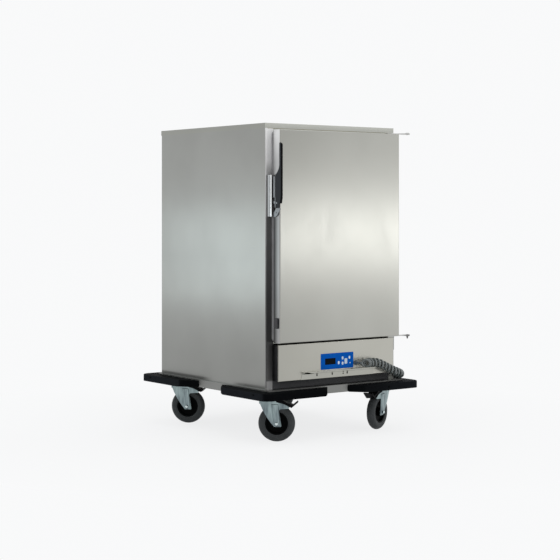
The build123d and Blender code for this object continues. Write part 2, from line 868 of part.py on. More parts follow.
# Tray behind the cover, open in front and above, with two runners and a plinth under it
module_front = panel_face + panel_bend + sheet
module_depth = rear - module_back_gap - module_front
with BuildPart() as module_housing:
    with BuildSketch(at_height(panel_bottom + sheet)):
        with Locations((0, module_front + module_depth / 2)):
            Rectangle(module_width, module_depth)
    extrude(amount=panel_height - sheet - module_rim)
    with BuildSketch(at_height(panel_bottom + 2 * sheet)):
        with Locations((0, module_front + (module_depth - sheet) / 2)):
            Rectangle(module_width - 2 * sheet, module_depth - sheet)
    extrude(amount=panel_height, mode=Mode.SUBTRACT)
    with BuildSketch(at_height(panel_bottom + sheet)):
        with Locations((0, module_front + (module_depth + runner_setback) / 2)):
            with GridLocations(runner_spacing, 0, 2, 1):
                Rectangle(runner_width, module_depth - runner_setback)
                inner = runner_width - 2 * sheet
                Rectangle(inner, module_depth - runner_setback, mode=Mode.SUBTRACT)
    extrude(amount=-toe_height - sheet)
    with BuildSketch(at_height(panel_bottom + sheet)):
        with Locations((0, frame_face + sheet / 2)):
            Rectangle(module_bay - 2 * plinth_gap, sheet)
    extrude(amount=-toe_height - sheet + plinth_gap)
write(module_housing.part, "module_housing")

with BuildPart() as keypad_foil:
    with BuildSketch(at_depth(panel_face)):
        with Locations((label_x, label_z)):
            RectangleRounded(label_width, label_height, 3)
        with Locations((label_x + display_offset, label_z + display_level)):
            opening_w = display_width + 2 * key_clearance
            Rectangle(opening_w, display_height + 2 * key_clearance, mode=Mode.SUBTRACT)
        with Locations(
            (label_x + key_column, label_z - key_spread / 2 - 1),
            (label_x + key_column, label_z + key_spread / 2 - 1),
        ):
            key_w = key_width + 2 * key_clearance
            RectangleRounded(key_w, key_height + 2 * key_clearance, 4, mode=Mode.SUBTRACT)
        with Locations((label_x + power_key_column, label_z + power_key_level)):
            key_w = power_key_width + 2 * key_clearance
            RectangleRounded(key_w, power_key_height + 2 * key_clearance, 2, mode=Mode.SUBTRACT)
    extrude(amount=foil)
write(keypad_foil.part, "keypad_foil")

# Keys: a cap through the foil and a rim that stops it behind the cover
keys = {
    "key_down": (key_column, -key_spread / 2 - 1, key_width, key_height, 4),
    "key_up": (key_column, key_spread / 2 - 1, key_width, key_height, 4),
    "key_power": (power_key_column, power_key_level, power_key_width, power_key_height, 2),
}
rim_face = panel_face + sheet + key_play
for name, (column, level, width, height, corner) in keys.items():
    with BuildPart() as key:
        with BuildSketch(at_depth(rim_face + key_rim_thickness)):
            with Locations((label_x + column, label_z + level)):
                RectangleRounded(width + 2 * key_rim, height + 2 * key_rim, corner)
        extrude(amount=key_rim_thickness)
        with BuildSketch(at_depth(rim_face)):
            with Locations((label_x + column, label_z + level)):
                RectangleRounded(width, height, corner)
        extrude(amount=rim_face - panel_face + foil + key_proud)
        fillet(key.faces().sort_by(Axis.Y)[0].edges(), radius=0.5)
    write(key.part, name)

# Display block behind the window, on its board
with BuildPart() as display_unit:
    with BuildSketch(at_depth(panel_face + display_depth)):
        with Locations((label_x + display_offset, label_z + display_level)):
            Rectangle(display_width, display_height)
    extrude(amount=display_depth + foil / 2)
    with BuildSketch(at_depth(panel_face + display_depth + board_thickness)):
        with Locations((label_x, label_z)):
            Rectangle(label_width - 2 * board_margin, label_height - 2 * board_margin)
    extrude(amount=board_thickness)
    with BuildSketch(at_depth(panel_face + display_depth)):
        post = board_margin + 4
        with Locations((label_x, label_z)):
            with GridLocations(label_width - 2 * post, label_height - 2 * post, 2, 2):
                Circle(3)
    extrude(amount=display_depth - sheet)
write(display_unit.part, "display_unit")

# Grip ledge: back plate with a slanted end, top shelf with a turned-down lip, and gussets
ledge_z = panel_bottom + ledge_top
ledge_left = ledge_offset - ledge_width / 2
ledge_right = ledge_offset + ledge_width / 2
with BuildPart() as grip_ledge:
    with BuildSketch(at_depth(panel_face)):
        with BuildLine():
            Polyline(
                (ledge_left, ledge_z),
                (ledge_right, ledge_z),
                (ledge_right, ledge_z - ledge_plate_height),
                (ledge_left - ledge_slant, ledge_z - ledge_plate_height),
                close=True,
            )
        make_face()
    extrude(amount=sheet)
    with BuildSketch(at_height(ledge_z)):
        with Locations(((ledge_left + ledge_right) / 2, panel_face - ledge_reach / 2)):
            Rectangle(ledge_width, ledge_reach)
    extrude(amount=-sheet)
    with BuildSketch(at_depth(panel_face - ledge_reach + sheet)):
        with Locations(((ledge_left + ledge_right) / 2, ledge_z - ledge_lip / 2)):
            Rectangle(ledge_width, ledge_lip)
    extrude(amount=sheet)
    for place in gusset_places:
        with BuildSketch(Plane.YZ.offset(place - sheet / 2)):
            with BuildLine():
                Polyline(
                    (panel_face - sheet, ledge_z - sheet),
                    (panel_face - gusset_height, ledge_z - sheet),
                    (panel_face - sheet, ledge_z - sheet - gusset_height),
                    close=True,
                )
            make_face()
        extrude(amount=sheet)
write(grip_ledge.part, "grip_ledge")

# Fan: motor on the module's floor, and a rotor with curved blades on its shaft
motor_base = panel_bottom + 2 * sheet
motor_top = motor_base + motor_height
disc_z = motor_top + fan_lift
with BuildPart() as fan_motor:
    with BuildSketch(at_height(motor_base)):
        with Locations((0, fan_y)):
            Circle(motor_radius + motor_flange)
    extrude(amount=4)
    with BuildSketch(at_height(motor_base)):
        with Locations((0, fan_y)):
            Circle(motor_radius)
    extrude(amount=motor_height)
    with BuildSketch(at_height(motor_top)):
        with Locations((0, fan_y)):
            Circle(fan_shaft_radius + pivot_clearance)
    extrude(amount=-motor_height / 2, mode=Mode.SUBTRACT)
write(fan_motor.part, "fan_motor")

blade_root = (fan_radius * 0.45, 0)
blade_tip = (fan_radius * 0.8, fan_radius * 0.5)
with BuildPart() as fan_rotor:
    with BuildSketch(at_height(disc_z)):
        with Locations((0, fan_y)):
            Circle(fan_radius)
    extrude(amount=fan_disc)
    with BuildSketch(at_height(disc_z)):
        with Locations((0, fan_y)):
            Circle(fan_hub_radius)
    extrude(amount=fan_blade_height / 2)
    with BuildSketch(at_height(disc_z)):
        with Locations((0, fan_y)):
            Circle(fan_shaft_radius)
    extrude(amount=-motor_height / 2)
    for blade in range(fan_blades):
        turned = Plane(origin=(0, fan_y, disc_z + fan_disc)).rotated((0, 0, 360 / fan_blades * blade))
        with BuildSketch(turned):
            with BuildLine():
                outer_arc = RadiusArc(blade_root, blade_tip, fan_blade_radius)
                inner_tip = (blade_tip[0], blade_tip[1] - fan_blade_thickness)
                inner_root = (blade_root[0], blade_root[1] - fan_blade_thickness)
                Line(blade_tip, inner_tip)
                RadiusArc(inner_root, inner_tip, fan_blade_radius)
                Line(inner_root, blade_root)
            make_face()
        extrude(amount=fan_blade_height)
write(fan_rotor.part, "fan_rotor")

# Heater: a tube that rises from the floor, runs round the fan and goes down again
heater_z = motor_base + heater_height
gap_half = radians(heater_gap_angle) / 2
ring_start = (-heater_ring_radius * sin(gap_half), fan_y - heater_ring_radius * cos(gap_half))
ring_end = (heater_ring_radius * sin(gap_half), fan_y - heater_ring_radius * cos(gap_half))
with BuildPart() as heating_element:
    with BuildLine():
        turn_in = Vector(-cos(gap_half), sin(gap_half), 0)
        turn_out = Vector(-cos(gap_half), -sin(gap_half), 0)
        low_in = Vector(ring_start[0], ring_start[1], motor_base) - turn_in * heater_bend
        low_out = Vector(ring_end[0], ring_end[1], motor_base) + turn_out * heater_bend
        rise_in = Line(low_in, low_in + Vector(0, 0, heater_height - heater_bend))
        bend_in = TangentArc(rise_in @ 1, Vector(ring_start[0], ring_start[1], heater_z), tangent=(0, 0, 1))
        half_ring = TangentArc(bend_in @ 1, (0, fan_y + heater_ring_radius, heater_z), tangent=turn_in)
        full_ring = TangentArc(half_ring @ 1, Vector(ring_end[0], ring_end[1], heater_z), tangent=(1, 0, 0))
        bend_out = TangentArc(full_ring @ 1, low_out + Vector(0, 0, heater_height - heater_bend), tangent=turn_out)
        Line(bend_out @ 1, low_out)
    with BuildSketch(Plane(origin=low_in, z_dir=(0, 0, 1))):
        Circle(heater_tube_radius)
    sweep()
write(heating_element.part, "heating_element")

# Push handles: two upright tubes with bent ends on rosettes
handle_low = cabinet_bottom + handle_level
handle_y = rear + handle_standoff
with BuildPart() as push_handles:
    for side in (-1, 1):
        x = side * handle_spacing / 2
        with BuildLine():
            FilletPolyline(
                (x, rear, handle_low),
                (x, handle_y, handle_low),
                (x, handle_y, handle_low + handle_height),
                (x, rear, handle_low + handle_height),
                radius=handle_bend,
            )
        with BuildSketch(Plane(origin=(x, rear, handle_low), z_dir=(0, 1, 0))):
            Circle(handle_radius)
        sweep()
        with BuildSketch(at_depth(rear)):
            with Locations((x, handle_low), (x, handle_low + handle_height)):
                Circle(rosette_radius)
        extrude(amount=-rosette_thickness)
write(push_handles.part, "push_handles")

# Casters, built once with the swivel axis at the origin and the wheel trailing along +X
side_view = Plane(origin=(0, 0, 0), x_dir=(1, 0, 0), z_dir=(0, -1, 0))
race_bottom = caster_height - plate_thickness - race_height
crown_top = race_bottom - swivel_gap
crown_bottom = crown_top - crown_thickness
leg_face = fork_gap / 2 + fork_leg

with BuildPart() as caster_plate:
    with BuildSketch(at_height(caster_height)) as plate_plan:
        Rectangle(plate_width, plate_length)
        fillet(plate_plan.vertices(), radius=8)
    extrude(amount=-plate_thickness)
    with BuildSketch(at_height(race_bottom)):
        Circle(race_radius)
    extrude(amount=race_height, taper=8)
    with BuildSketch(at_height(caster_height - plate_thickness)):
        Circle(king_pin_radius)
    extrude(amount=-(race_height + crown_thickness + 2 * swivel_gap))
    with BuildSketch(at_height(crown_bottom - swivel_gap)):
        Circle(king_pin_head_radius)
    extrude(amount=-king_pin_head)

# Outline of a fork leg, seen from its side: bowed front edge, flat foot, and a wing over the wheel
lug_z = crown_top - pedal_pivot_drop
leg_corner = (-crown_lead, crown_top)


def on_wing(reach):
    """Point of the wing's round upper edge at a distance from the wheel's centre."""
    return (caster_trail + reach, wheel_radius + sqrt(wing_radius**2 - reach**2))


def from_wheel(point):
    """Side-view point measured from the wheel's centre."""
    return (caster_trail + point[0], wheel_radius + point[1])


leg_bow = from_wheel(leg_bow_point)
foot_front = from_wheel(foot_front_point)
foot_rear = from_wheel(foot_rear_point)
leg_waist = from_wheel(leg_waist_point)
wing_root = from_wheel(wing_root_point)
wing_tip = on_wing(wing_reach)
wing_shoulder = on_wing(wing_shoulder_reach)
wing_crest = on_wing(wing_crest_reach)
with BuildPart() as caster_fork:
    with BuildSketch(side_view.offset(-leg_face)):
        with Locations(((crown_reach - crown_lead) / 2, crown_top - crown_thickness / 2)):
            Rectangle(crown_lead + crown_reach, crown_thickness)
    extrude(amount=2 * leg_face)
    with BuildSketch(at_height(crown_bottom)):
        Circle(king_pin_radius + pivot_clearance)
    extrude(amount=crown_thickness, mode=Mode.SUBTRACT)
    for way in (-1, 1):
        with BuildSketch(side_view.offset(way * leg_face)) as leg:
            with BuildLine():
                ThreePointArc(leg_corner, leg_bow, foot_front)
                Polyline(foot_front, foot_rear, leg_waist, wing_root, wing_tip)
                ThreePointArc(wing_tip, wing_crest, wing_shoulder)
                Polyline(wing_shoulder, (crown_reach, crown_top), leg_corner)
            make_face()
            fillet(leg.vertices().group_by(Axis.Z)[0], radius=foot_corner)
            with Locations((pedal_pivot_reach, lug_z)):
                Circle(pedal_boss_radius)
        extrude(amount=-way * fork_leg)
        # Raised rib with sloping flanks down the middle of the leg
        with BuildSketch(side_view.offset(way * leg_face)):
            with BuildLine():
                Polyline([from_wheel(point) for point in rib_outline], close=True)
            make_face()
        extrude(amount=way * rib_height, taper=rib_draft)
    bore_length = 2 * leg_face + 2 * rib_height
    with BuildSketch(side_view.offset(-bore_length / 2)):
        with Locations((caster_trail, wheel_radius)):
            Circle(axle_radius + axle_clearance)
    extrude(amount=bore_length, mode=Mode.SUBTRACT)
    with BuildSketch(side_view.offset(-leg_face)):
        with Locations((pedal_pivot_reach, lug_z)):
            Circle(pedal_pin_radius)
    extrude(amount=2 * leg_face)

with BuildPart() as caster_axle:
    with BuildSketch(side_view.offset(-bore_length / 2)):
        with Locations((caster_trail, wheel_radius)):
            Circle(axle_radius)
    extrude(amount=bore_length)
    for way in (-1, 1):
        with BuildSketch(side_view.offset(way * bore_length / 2)):
            with Locations((caster_trail, wheel_radius)):
                RegularPolygon(axle_head_radius, 6)
        extrude(amount=way * axle_head)

with BuildPart() as caster_hub:
    with BuildSketch(Plane.XY):
        with BuildLine():
            Polyline(
                (axle_radius + hub_bore_clearance, -hub_length / 2),
                (hub_boss_radius, -hub_length / 2),
                (hub_boss_radius, -hub_web / 2),
                (hub_radius - hub_rim, -hub_web / 2),
                (hub_radius - hub_rim, -tyre_width / 2 + 3),
                (hub_radius, -tyre_width / 2 + 3),
                (hub_radius, tyre_width / 2 - 3),
                (hub_radius - hub_rim, tyre_width / 2 - 3),
                (hub_radius - hub_rim, hub_web / 2),
                (hub_boss_radius, hub_web / 2),
                (hub_boss_radius, hub_length / 2),
                (axle_radius + hub_bore_clearance, hub_length / 2),
                close=True,
            )
        make_face()
    revolve(axis=Axis.Y)

with BuildPart() as caster_tyre:
    with BuildSketch(Plane.XY):
        with BuildLine():
            side_low = (hub_radius, -tyre_width / 2 + 3)
            side_high = (hub_radius, tyre_width / 2 - 3)
            shoulder = wheel_radius - tyre_crown
            Polyline(side_low, (hub_radius + 6, -tyre_width / 2), (shoulder, -tyre_width / 2))
            ThreePointArc((shoulder, -tyre_width / 2), (wheel_radius, 0), (shoulder, tyre_width / 2))
            Polyline((shoulder, tyre_width / 2), (hub_radius + 6, tyre_width / 2), side_high)
            Line(side_high, side_low)
        make_face()
    revolve(axis=Axis.Y)

# Brake pedal between the legs: a thick arm that dips towards its tip, where a thin lip turns up
pedal_width = fork_gap - 2 * pedal_play
with BuildPart() as caster_pedal:
    with BuildSketch(side_view.offset(-pedal_width / 2)):
        with BuildLine():
            Polyline([(pedal_pivot_reach + reach, lug_z + level) for reach, level in pedal_outline], close=True)
        make_face()
        with Locations((pedal_pivot_reach, lug_z)):
            Circle(pedal_boss_radius)
            Circle(pedal_pin_radius + pivot_clearance, mode=Mode.SUBTRACT)
    extrude(amount=pedal_width)

# The plates share a node, and every other caster piece gets one of its own
plates = []
for name, (side, end, heading) in casters.items():
    inset_x, inset_y = caster_inset_front if end < 0 else caster_inset_rear
    swivel_x = side * (base_width / 2 - inset_x)
    swivel_y = end * (base_depth / 2 - inset_y)
    place = Location((swivel_x, swivel_y, 0), (0, 0, heading))
    wheel_place = place * Location((caster_trail, 0, wheel_radius))
    plates.append(caster_plate.part.moved(Location((swivel_x, swivel_y, 0))))
    write(caster_fork.part.moved(place), f"{name}_fork")
    write(caster_axle.part.moved(place), f"{name}_axle")
    write(caster_hub.part.moved(wheel_place), f"{name}_hub")
    write(caster_tyre.part.moved(wheel_place), f"{name}_tyre")
    write(caster_pedal.part.moved(place), f"{name}_pedal")
write(Compound(children=plates), "caster_plates")

# Strain relief of the cord: a flange and a taper that ends in a flat tip
gland_z = panel_bottom + gland_level
with BuildPart() as cord_gland:
    with BuildSketch(at_depth(panel_face)):
        with Locations((gland_offset, gland_z)):
            Circle(gland_radius)
    extrude(amount=gland_flange)
    with BuildSketch(at_depth(panel_face - gland_flange)):
        with Locations((gland_offset, gland_z)):
            Circle(gland_radius - 2.5)
    with BuildSketch(at_depth(panel_face - gland_length)):
        with Locations((gland_offset, gland_z)):
            Circle(gland_tip_radius)
    loft()
write(cord_gland.part, "cord_gland")


def middle(first, second):
    """Point halfway between two points."""
    return (first + second) / 2


def route_at(place):
    """Middle of the coil: a smooth curve drawn towards the route's points."""
    points = [Vector(*p) for p in coil_route]
    spans = len(points) - 2
    span = min(int(place), spans - 1)
    t = place - span
    start = points[0] if span == 0 else middle(points[span], points[span + 1])
    end = points[-1] if span == spans - 1 else middle(points[span + 1], points[span + 2])
    corner = points[span + 1]
    return start * (1 - t) ** 2 + corner * (2 * t * (1 - t)) + end * t**2


# Lengths along the route, so that curls are spaced by length
steps = 1600
places = [i * (len(coil_route) - 2) / steps for i in range(steps + 1)]
spine = [route_at(p) for p in places]
run = [0.0]
for before, after in zip(spine, spine[1:]):
    run.append(run[-1] + (after - before).length)
route_length = run[-1]
curl_radius = (coil_diameter - cord_diameter) / 2
straight_end = cord_diameter
curled = route_length - 2 * straight_end
turns = round((curled - curl_ramp) / curl_pitch)


def smooth_step(x):
    """Rise from 0 to 1 with level ends."""
    x = max(0.0, min(1.0, x))
    return x * x * (3 - 2 * x)


def looseness(share):
    """The first few curls are pulled out of shape: wider apart and uneven."""
    return 1 - smooth_step(share / 0.26)


def curl_point(share):
    """Point of the cord at a share of the curled stretch, from 0 to 1."""
    at = straight_end + share * curled
    x = numpy.interp(at, run, [p.X for p in spine])
    y = numpy.interp(at, run, [p.Y for p in spine])
    z = numpy.interp(at, run, [p.Z for p in spine])
    ahead = numpy.interp(at + 1, run, range(steps + 1))
    behind = numpy.interp(at - 1, run, range(steps + 1))
    forward = (spine[min(int(ahead) + 1, steps)] - spine[max(int(behind), 0)]).normalized()
    sideways = Vector(0, 0, 1).cross(forward).normalized()
    upward = forward.cross(sideways)
    ramp = smooth_step(share * curled / curl_ramp) * smooth_step((1 - share) * curled / curl_ramp)
    loose = looseness(share)
    radius = curl_radius * ramp * (1 + 0.12 * loose * sin(2 * pi * turns * share * 0.37))
    angle = 2 * pi * turns * (share + 0.012 * loose * sin(2 * pi * share * 9)) - pi / 2
    return Vector(x, y, z) + sideways * (radius * cos(angle)) + upward * (radius * sin(angle))


def curl_direction(share):
    """Direction of the cord at a share of the curled stretch."""
    small = 1e-4
    return (curl_point(min(share + small, 1)) - curl_point(max(share - small, 0))).normalized()


def joint_of_arcs(start, start_way, end, end_way):
    """Point where two arcs meet that leave one point and reach another smoothly."""
    chord = end - start
    ways = start_way + end_way
    spread = 2 * (1 - start_way.dot(end_way))
    along = chord.dot(ways)
    if spread < 1e-9:
        reach = chord.dot(chord) / (4 * chord.dot(end_way))
    else:
        reach = (-along + sqrt(along**2 + spread * chord.dot(chord))) / spread
    return middle(start + start_way * reach, end - end_way * reach)


first_way = (Vector(*coil_route[1]) - Vector(*coil_route[0])).normalized()
last_way = (Vector(*coil_route[-1]) - Vector(*coil_route[-2])).normalized()
curl_steps = 2 * turns
shares = [i / curl_steps for i in range(curl_steps + 1)]
knots = [curl_point(s) for s in shares]
ways = [curl_direction(s) for s in shares]
cord_start = Vector(*coil_route[0])
cord_end = Vector(*coil_route[-1])
knots[0] = cord_start + first_way * straight_end
knots[-1] = cord_end - last_way * straight_end
ways[0] = first_way
ways[-1] = last_way
with BuildPart() as curly_cord:
    with BuildLine() as curls:
        Line(cord_start, knots[0])
        for i in range(curl_steps):
            meeting = joint_of_arcs(knots[i], ways[i], knots[i + 1], ways[i + 1])
            first_arc = TangentArc(knots[i], meeting, tangent=ways[i])
            TangentArc(meeting, knots[i + 1], tangent=first_arc % 1)
        Line(knots[-1], cord_end)
    with BuildSketch(Plane(origin=cord_start, z_dir=first_way)):
        Circle(cord_diameter / 2)
    sweep()
write(curly_cord.part, "curly_cord")

# Least gap of the cord to itself, measured on points a fifth of its diameter apart
cord_wire = curls.wire()
cord_length = cord_wire.length
count = int(cord_length / (cord_diameter / 5))
line_points = numpy.array([tuple(cord_wire.position_at(i / count)) for i in range(count + 1)])
apart = int(pi * cord_diameter / (cord_length / count))
least = min(
    numpy.linalg.norm(line_points[i + apart:] - line_points[i], axis=1).min()
    for i in range(count - apart)
)
swept = pi * (cord_diameter / 2) ** 2 * cord_length
print("curls", turns, "cord length", round(cord_length), "least gap to itself", round(least - cord_diameter, 2))
print("volume over section times length", round(curly_cord.part.volume / swept, 4))

# Plug on the cord's end, lying on the bumper
with BuildPart() as power_plug:
    grip = Plane(origin=cord_end, z_dir=last_way)
    with BuildSketch(grip):
        Circle(gland_tip_radius)
    with BuildSketch(grip.offset(plug_neck)):
        Circle(plug_neck_radius + 2)
    loft()
    with BuildSketch(grip.offset(plug_neck)):
        Circle(plug_neck_radius + 2)
    with BuildSketch(grip.offset(plug_neck + 12)):
        Circle(plug_radius)
    loft()
    with BuildSketch(grip.offset(plug_neck + 12)):
        Circle(plug_radius)
    extrude(amount=plug_length - 12)
    with BuildSketch(grip.offset(plug_neck + plug_length)):
        with GridLocations(plug_pin_spacing, 0, 2, 1):
            Circle(plug_pin_radius)
    extrude(amount=plug_pin_length)
write(power_plug.part, "power_plug")
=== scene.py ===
"""Heated banquet trolley: finishes, small pieces, curly cord, camera and studio round the CAD frame."""
from math import cos, pi, radians, sin

import bmesh
import bpy
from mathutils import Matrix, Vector


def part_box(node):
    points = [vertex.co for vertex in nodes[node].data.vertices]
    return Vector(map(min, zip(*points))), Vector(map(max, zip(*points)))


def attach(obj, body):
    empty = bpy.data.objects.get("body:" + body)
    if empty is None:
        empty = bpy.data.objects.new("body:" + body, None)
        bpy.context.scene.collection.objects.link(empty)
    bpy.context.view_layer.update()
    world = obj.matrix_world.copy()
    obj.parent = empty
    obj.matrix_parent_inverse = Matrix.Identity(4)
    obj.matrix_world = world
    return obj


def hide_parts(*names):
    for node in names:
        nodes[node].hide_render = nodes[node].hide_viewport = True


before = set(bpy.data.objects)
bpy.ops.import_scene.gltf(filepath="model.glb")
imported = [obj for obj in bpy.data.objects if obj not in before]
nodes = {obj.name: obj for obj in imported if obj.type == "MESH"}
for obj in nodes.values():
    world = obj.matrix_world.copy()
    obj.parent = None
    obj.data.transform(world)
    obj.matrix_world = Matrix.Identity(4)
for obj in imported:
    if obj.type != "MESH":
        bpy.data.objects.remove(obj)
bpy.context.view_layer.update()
scene = bpy.context.scene
scene.view_settings.view_transform = "Standard"

# Casters, each with the degrees that its fork is turned at rest
headings = {"front_left": -40, "front_right": -157, "rear_left": -48, "rear_right": 143.1}
casters = tuple(headings)


def link(piece):
    """Put a new object in the scene."""
    scene.collection.objects.link(piece)
    return piece


def edges(node, axis):
    """Least and greatest coordinate of a node along one axis."""
    low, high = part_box(node)
    place = "XYZ".index(axis)
    return low[place], high[place]


# Camera
camera_data = bpy.data.cameras.new("camera")
camera_data.lens = 94.34
camera_data.shift_y = -0.1246
camera_data.clip_end = 60
camera = link(bpy.data.objects.new("camera", camera_data))
camera.location = (-4.094, -5.482, 1.001)
camera.rotation_euler = (radians(90), 0, radians(-36.845))
scene.camera = camera


# Node helpers
def add(tree, kind, **settings):
    """Add one node and set its properties."""
    node = tree.nodes.new(f"ShaderNode{kind}" if not kind.startswith("Node") else kind)
    for key, value in settings.items():
        setattr(node, key, value)
    return node


def maths(tree, operation, *terms):
    """Result of one operation on sockets and plain numbers."""
    node = add(tree, "Math", operation=operation)
    for socket, term in zip(node.inputs, terms):
        if isinstance(term, (int, float)):
            socket.default_value = term
        else:
            tree.links.new(term, socket)
    return node.outputs[0]


def stretched(tree, scale):
    """Object coordinates stretched by a scale on each axis."""
    where = add(tree, "TexCoord")
    stretch = add(tree, "Mapping")
    stretch.inputs["Scale"].default_value = scale
    tree.links.new(where.outputs["Object"], stretch.inputs["Vector"])
    return stretch.outputs["Vector"]


def noise(tree, vector, scale, detail, rough=0.5):
    """Noise texture, its grey value."""
    texture = add(tree, "TexNoise")
    texture.inputs["Scale"].default_value = scale
    texture.inputs["Detail"].default_value = detail
    texture.inputs["Roughness"].default_value = rough
    tree.links.new(vector, texture.inputs["Vector"])
    return texture.outputs["Fac"]


def spread(tree, value, low, high, out_low, out_high):
    """Map a range of a grey value to another range."""
    node = add(tree, "MapRange")
    numbers = {"From Min": low, "From Max": high, "To Min": out_low, "To Max": out_high}
    for label, number in numbers.items():
        node.inputs[label].default_value = number
    tree.links.new(value, node.inputs["Value"])
    return node.outputs["Result"]


def mixed(tree, factor, first, second):
    """Colour between two colours by a factor."""
    node = add(tree, "Mix", data_type="RGBA")
    tree.links.new(factor, node.inputs["Factor"])
    for socket, colour in ((node.inputs[6], first), (node.inputs[7], second)):
        if isinstance(colour, tuple):
            socket.default_value = (*colour, 1)
        else:
            tree.links.new(colour, socket)
    return node.outputs[2]


def product(tree, first, second):
    """Two colours multiplied."""
    node = add(tree, "Mix", data_type="RGBA", blend_type="MULTIPLY")
    node.inputs["Factor"].default_value = 1
    tree.links.new(first, node.inputs[6])
    tree.links.new(second, node.inputs[7])
    return node.outputs[2]


def bump(tree, height, strength, distance):
    """Normal from a height."""
    node = add(tree, "Bump")
    node.inputs["Strength"].default_value = strength
    node.inputs["Distance"].default_value = distance
    tree.links.new(height, node.inputs["Height"])
    return node.outputs["Normal"]


def coordinate(tree, axis):
    """Rest position along one axis."""
    apart = add(tree, "SeparateXYZ")
    tree.links.new(add(tree, "TexCoord").outputs["Object"], apart.inputs[0])
    return apart.outputs[axis]


def ramped(tree, axis, stops):
    """Grey tone that runs through (coordinate, tone) stops along one axis."""
    low, high = stops[0][0], stops[-1][0]
    ramp = add(tree, "ValToRGB")
    tree.links.new(spread(tree, coordinate(tree, axis), low, high, 0, 1), ramp.inputs["Fac"])
    elements = ramp.color_ramp.elements
    while len(elements) < len(stops):
        elements.new(0.5)
    for element, (place, tone) in zip(elements, stops):
        element.position = (place - low) / (high - low)
        element.color = (tone, tone, tone, 1)
    return ramp.outputs["Color"]


def below(tree, axis, edge):
    """Mask of what lies below a coordinate."""
    return maths(tree, "LESS_THAN", coordinate(tree, axis), edge)


# Finish groups, where an even grain is as fine along each axis
even = (1, 1, 1)


def finish_group(name, pattern):
    """Group of one finish: a pattern gives its tone mask, its change of roughness and its normal."""
    group = bpy.data.node_groups.new(name, "ShaderNodeTree")
    for label, kind, start in (
        ("Dark", "Color", (0.1, 0.1, 0.1, 1)),
        ("Light", "Color", (0.5, 0.5, 0.5, 1)),
        ("Roughness", "Float", 0.4),
    ):
        socket = group.interface.new_socket(label, in_out="INPUT", socket_type=f"NodeSocket{kind}")
        socket.default_value = start
    for label, kind in (("Color", "Color"), ("Roughness", "Float"), ("Normal", "Vector")):
        group.interface.new_socket(label, in_out="OUTPUT", socket_type=f"NodeSocket{kind}")
    inside = add(group, "NodeGroupInput")
    outside = add(group, "NodeGroupOutput")
    tone, wear, normal = pattern(group)
    colour = mixed(group, tone, inside.outputs["Dark"], inside.outputs["Light"])
    roughness = maths(group, "ADD", inside.outputs["Roughness"], wear)
    group.links.new(colour, outside.inputs["Color"])
    group.links.new(roughness, outside.inputs["Roughness"])
    group.links.new(normal, outside.inputs["Normal"])
    return group


def brushed(grain):
    """Brushed sheet: fine streaks along one axis, broad clouds and a few faint smears."""

    def pattern(group):
        streaks = noise(group, stretched(group, grain), 1, 3, 0.65)
        clouds = noise(group, stretched(group, even), 3.5, 2)
        smears = noise(group, stretched(group, (1, 1, 0.45)), 9, 4, 0.6)
        tone = maths(group, "MULTIPLY_ADD", streaks, 0.4, spread(group, clouds, 0.35, 0.65, 0, 0.55))
        wear = spread(group, smears, 0.5, 0.75, -0.01, 0.03)
        return tone, wear, bump(group, streaks, 0.05, 0.0002)

    return pattern


def speckled(scale, strength, distance):
    """Moulded or cast surface: fine even texture, under soft tones forty times as broad."""

    def pattern(group):
        fine = noise(group, stretched(group, even), scale, 3)
        broad = noise(group, stretched(group, even), scale / 40, 4, 0.6)
        tone = spread(group, broad, 0.3, 0.7, 0, 1)
        wear = spread(group, broad, 0.35, 0.7, -0.05, 0.08)
        return tone, wear, bump(group, fine, strength, distance)

    return pattern


def banded(grain):
    """Plated pressing: soft bands of light along one axis over a fine crystal texture."""

    def pattern(group):
        bands = noise(group, stretched(group, grain), 1, 2, 0.6)
        crystals = noise(group, stretched(group, even), 260, 3)
        tone = spread(group, bands, 0.36, 0.64, 0, 1)
        wear = spread(group, crystals, 0.35, 0.65, -0.05, 0.06)
        return tone, wear, bump(group, crystals, 0.2, 0.0003)

    return pattern


brushed_upright = finish_group("brushed_upright", brushed((700, 700, 5)))
brushed_level = finish_group("brushed_level", brushed((5, 5, 700)))
spangled = finish_group("spangled_zinc", speckled(260, 0.25, 0.0004))
plated = finish_group("plated_zinc", banded((42, 42, 9)))
moulded = finish_group("moulded_plastic", speckled(1400, 0.18, 0.0003))
vulcanised = finish_group("vulcanised_rubber", speckled(900, 0.3, 0.0004))

# Materials: what the shader itself is set to
metal = {"Metallic": 1}
matt = {"Specular IOR Level": 0.01}
dull = {"Specular IOR Level": 0.03}
faint = {"Specular IOR Level": 0.035}
dim_gloss = {"Specular IOR Level": 0.1}
soft = {"Specular IOR Level": 0.2}
sheathed = {"Coat Weight": 0.8, "Coat Roughness": 0.12}


def material(name, finish, dark, light, roughness, shader):
    """Surface whose colour, roughness and bump come from a finish group."""
    made = bpy.data.materials.new(name)
    made.use_nodes = True
    tree = made.node_tree
    surface = tree.nodes["Principled BSDF"]
    shared = add(tree, "Group")
    shared.node_tree = finish
    shared.inputs["Dark"].default_value = (*dark, 1)
    shared.inputs["Light"].default_value = (*light, 1)
    shared.inputs["Roughness"].default_value = roughness
    tree.links.new(shared.outputs["Color"], surface.inputs["Base Color"])
    tree.links.new(shared.outputs["Roughness"], surface.inputs["Roughness"])
    tree.links.new(shared.outputs["Normal"], surface.inputs["Normal"])
    for label, value in shader.items():
        surface.inputs[label].default_value = value
    return made


def base_colour(look):
    """A material's node tree and what feeds its base colour."""
    tree = look.node_tree
    return tree, tree.nodes["Principled BSDF"].inputs["Base Color"].links[0].from_socket


def recolour(look, colour):
    """Feed a material's base colour from another socket."""
    tree = look.node_tree
    tree.links.new(colour, tree.nodes["Principled BSDF"].inputs["Base Color"])
    return look


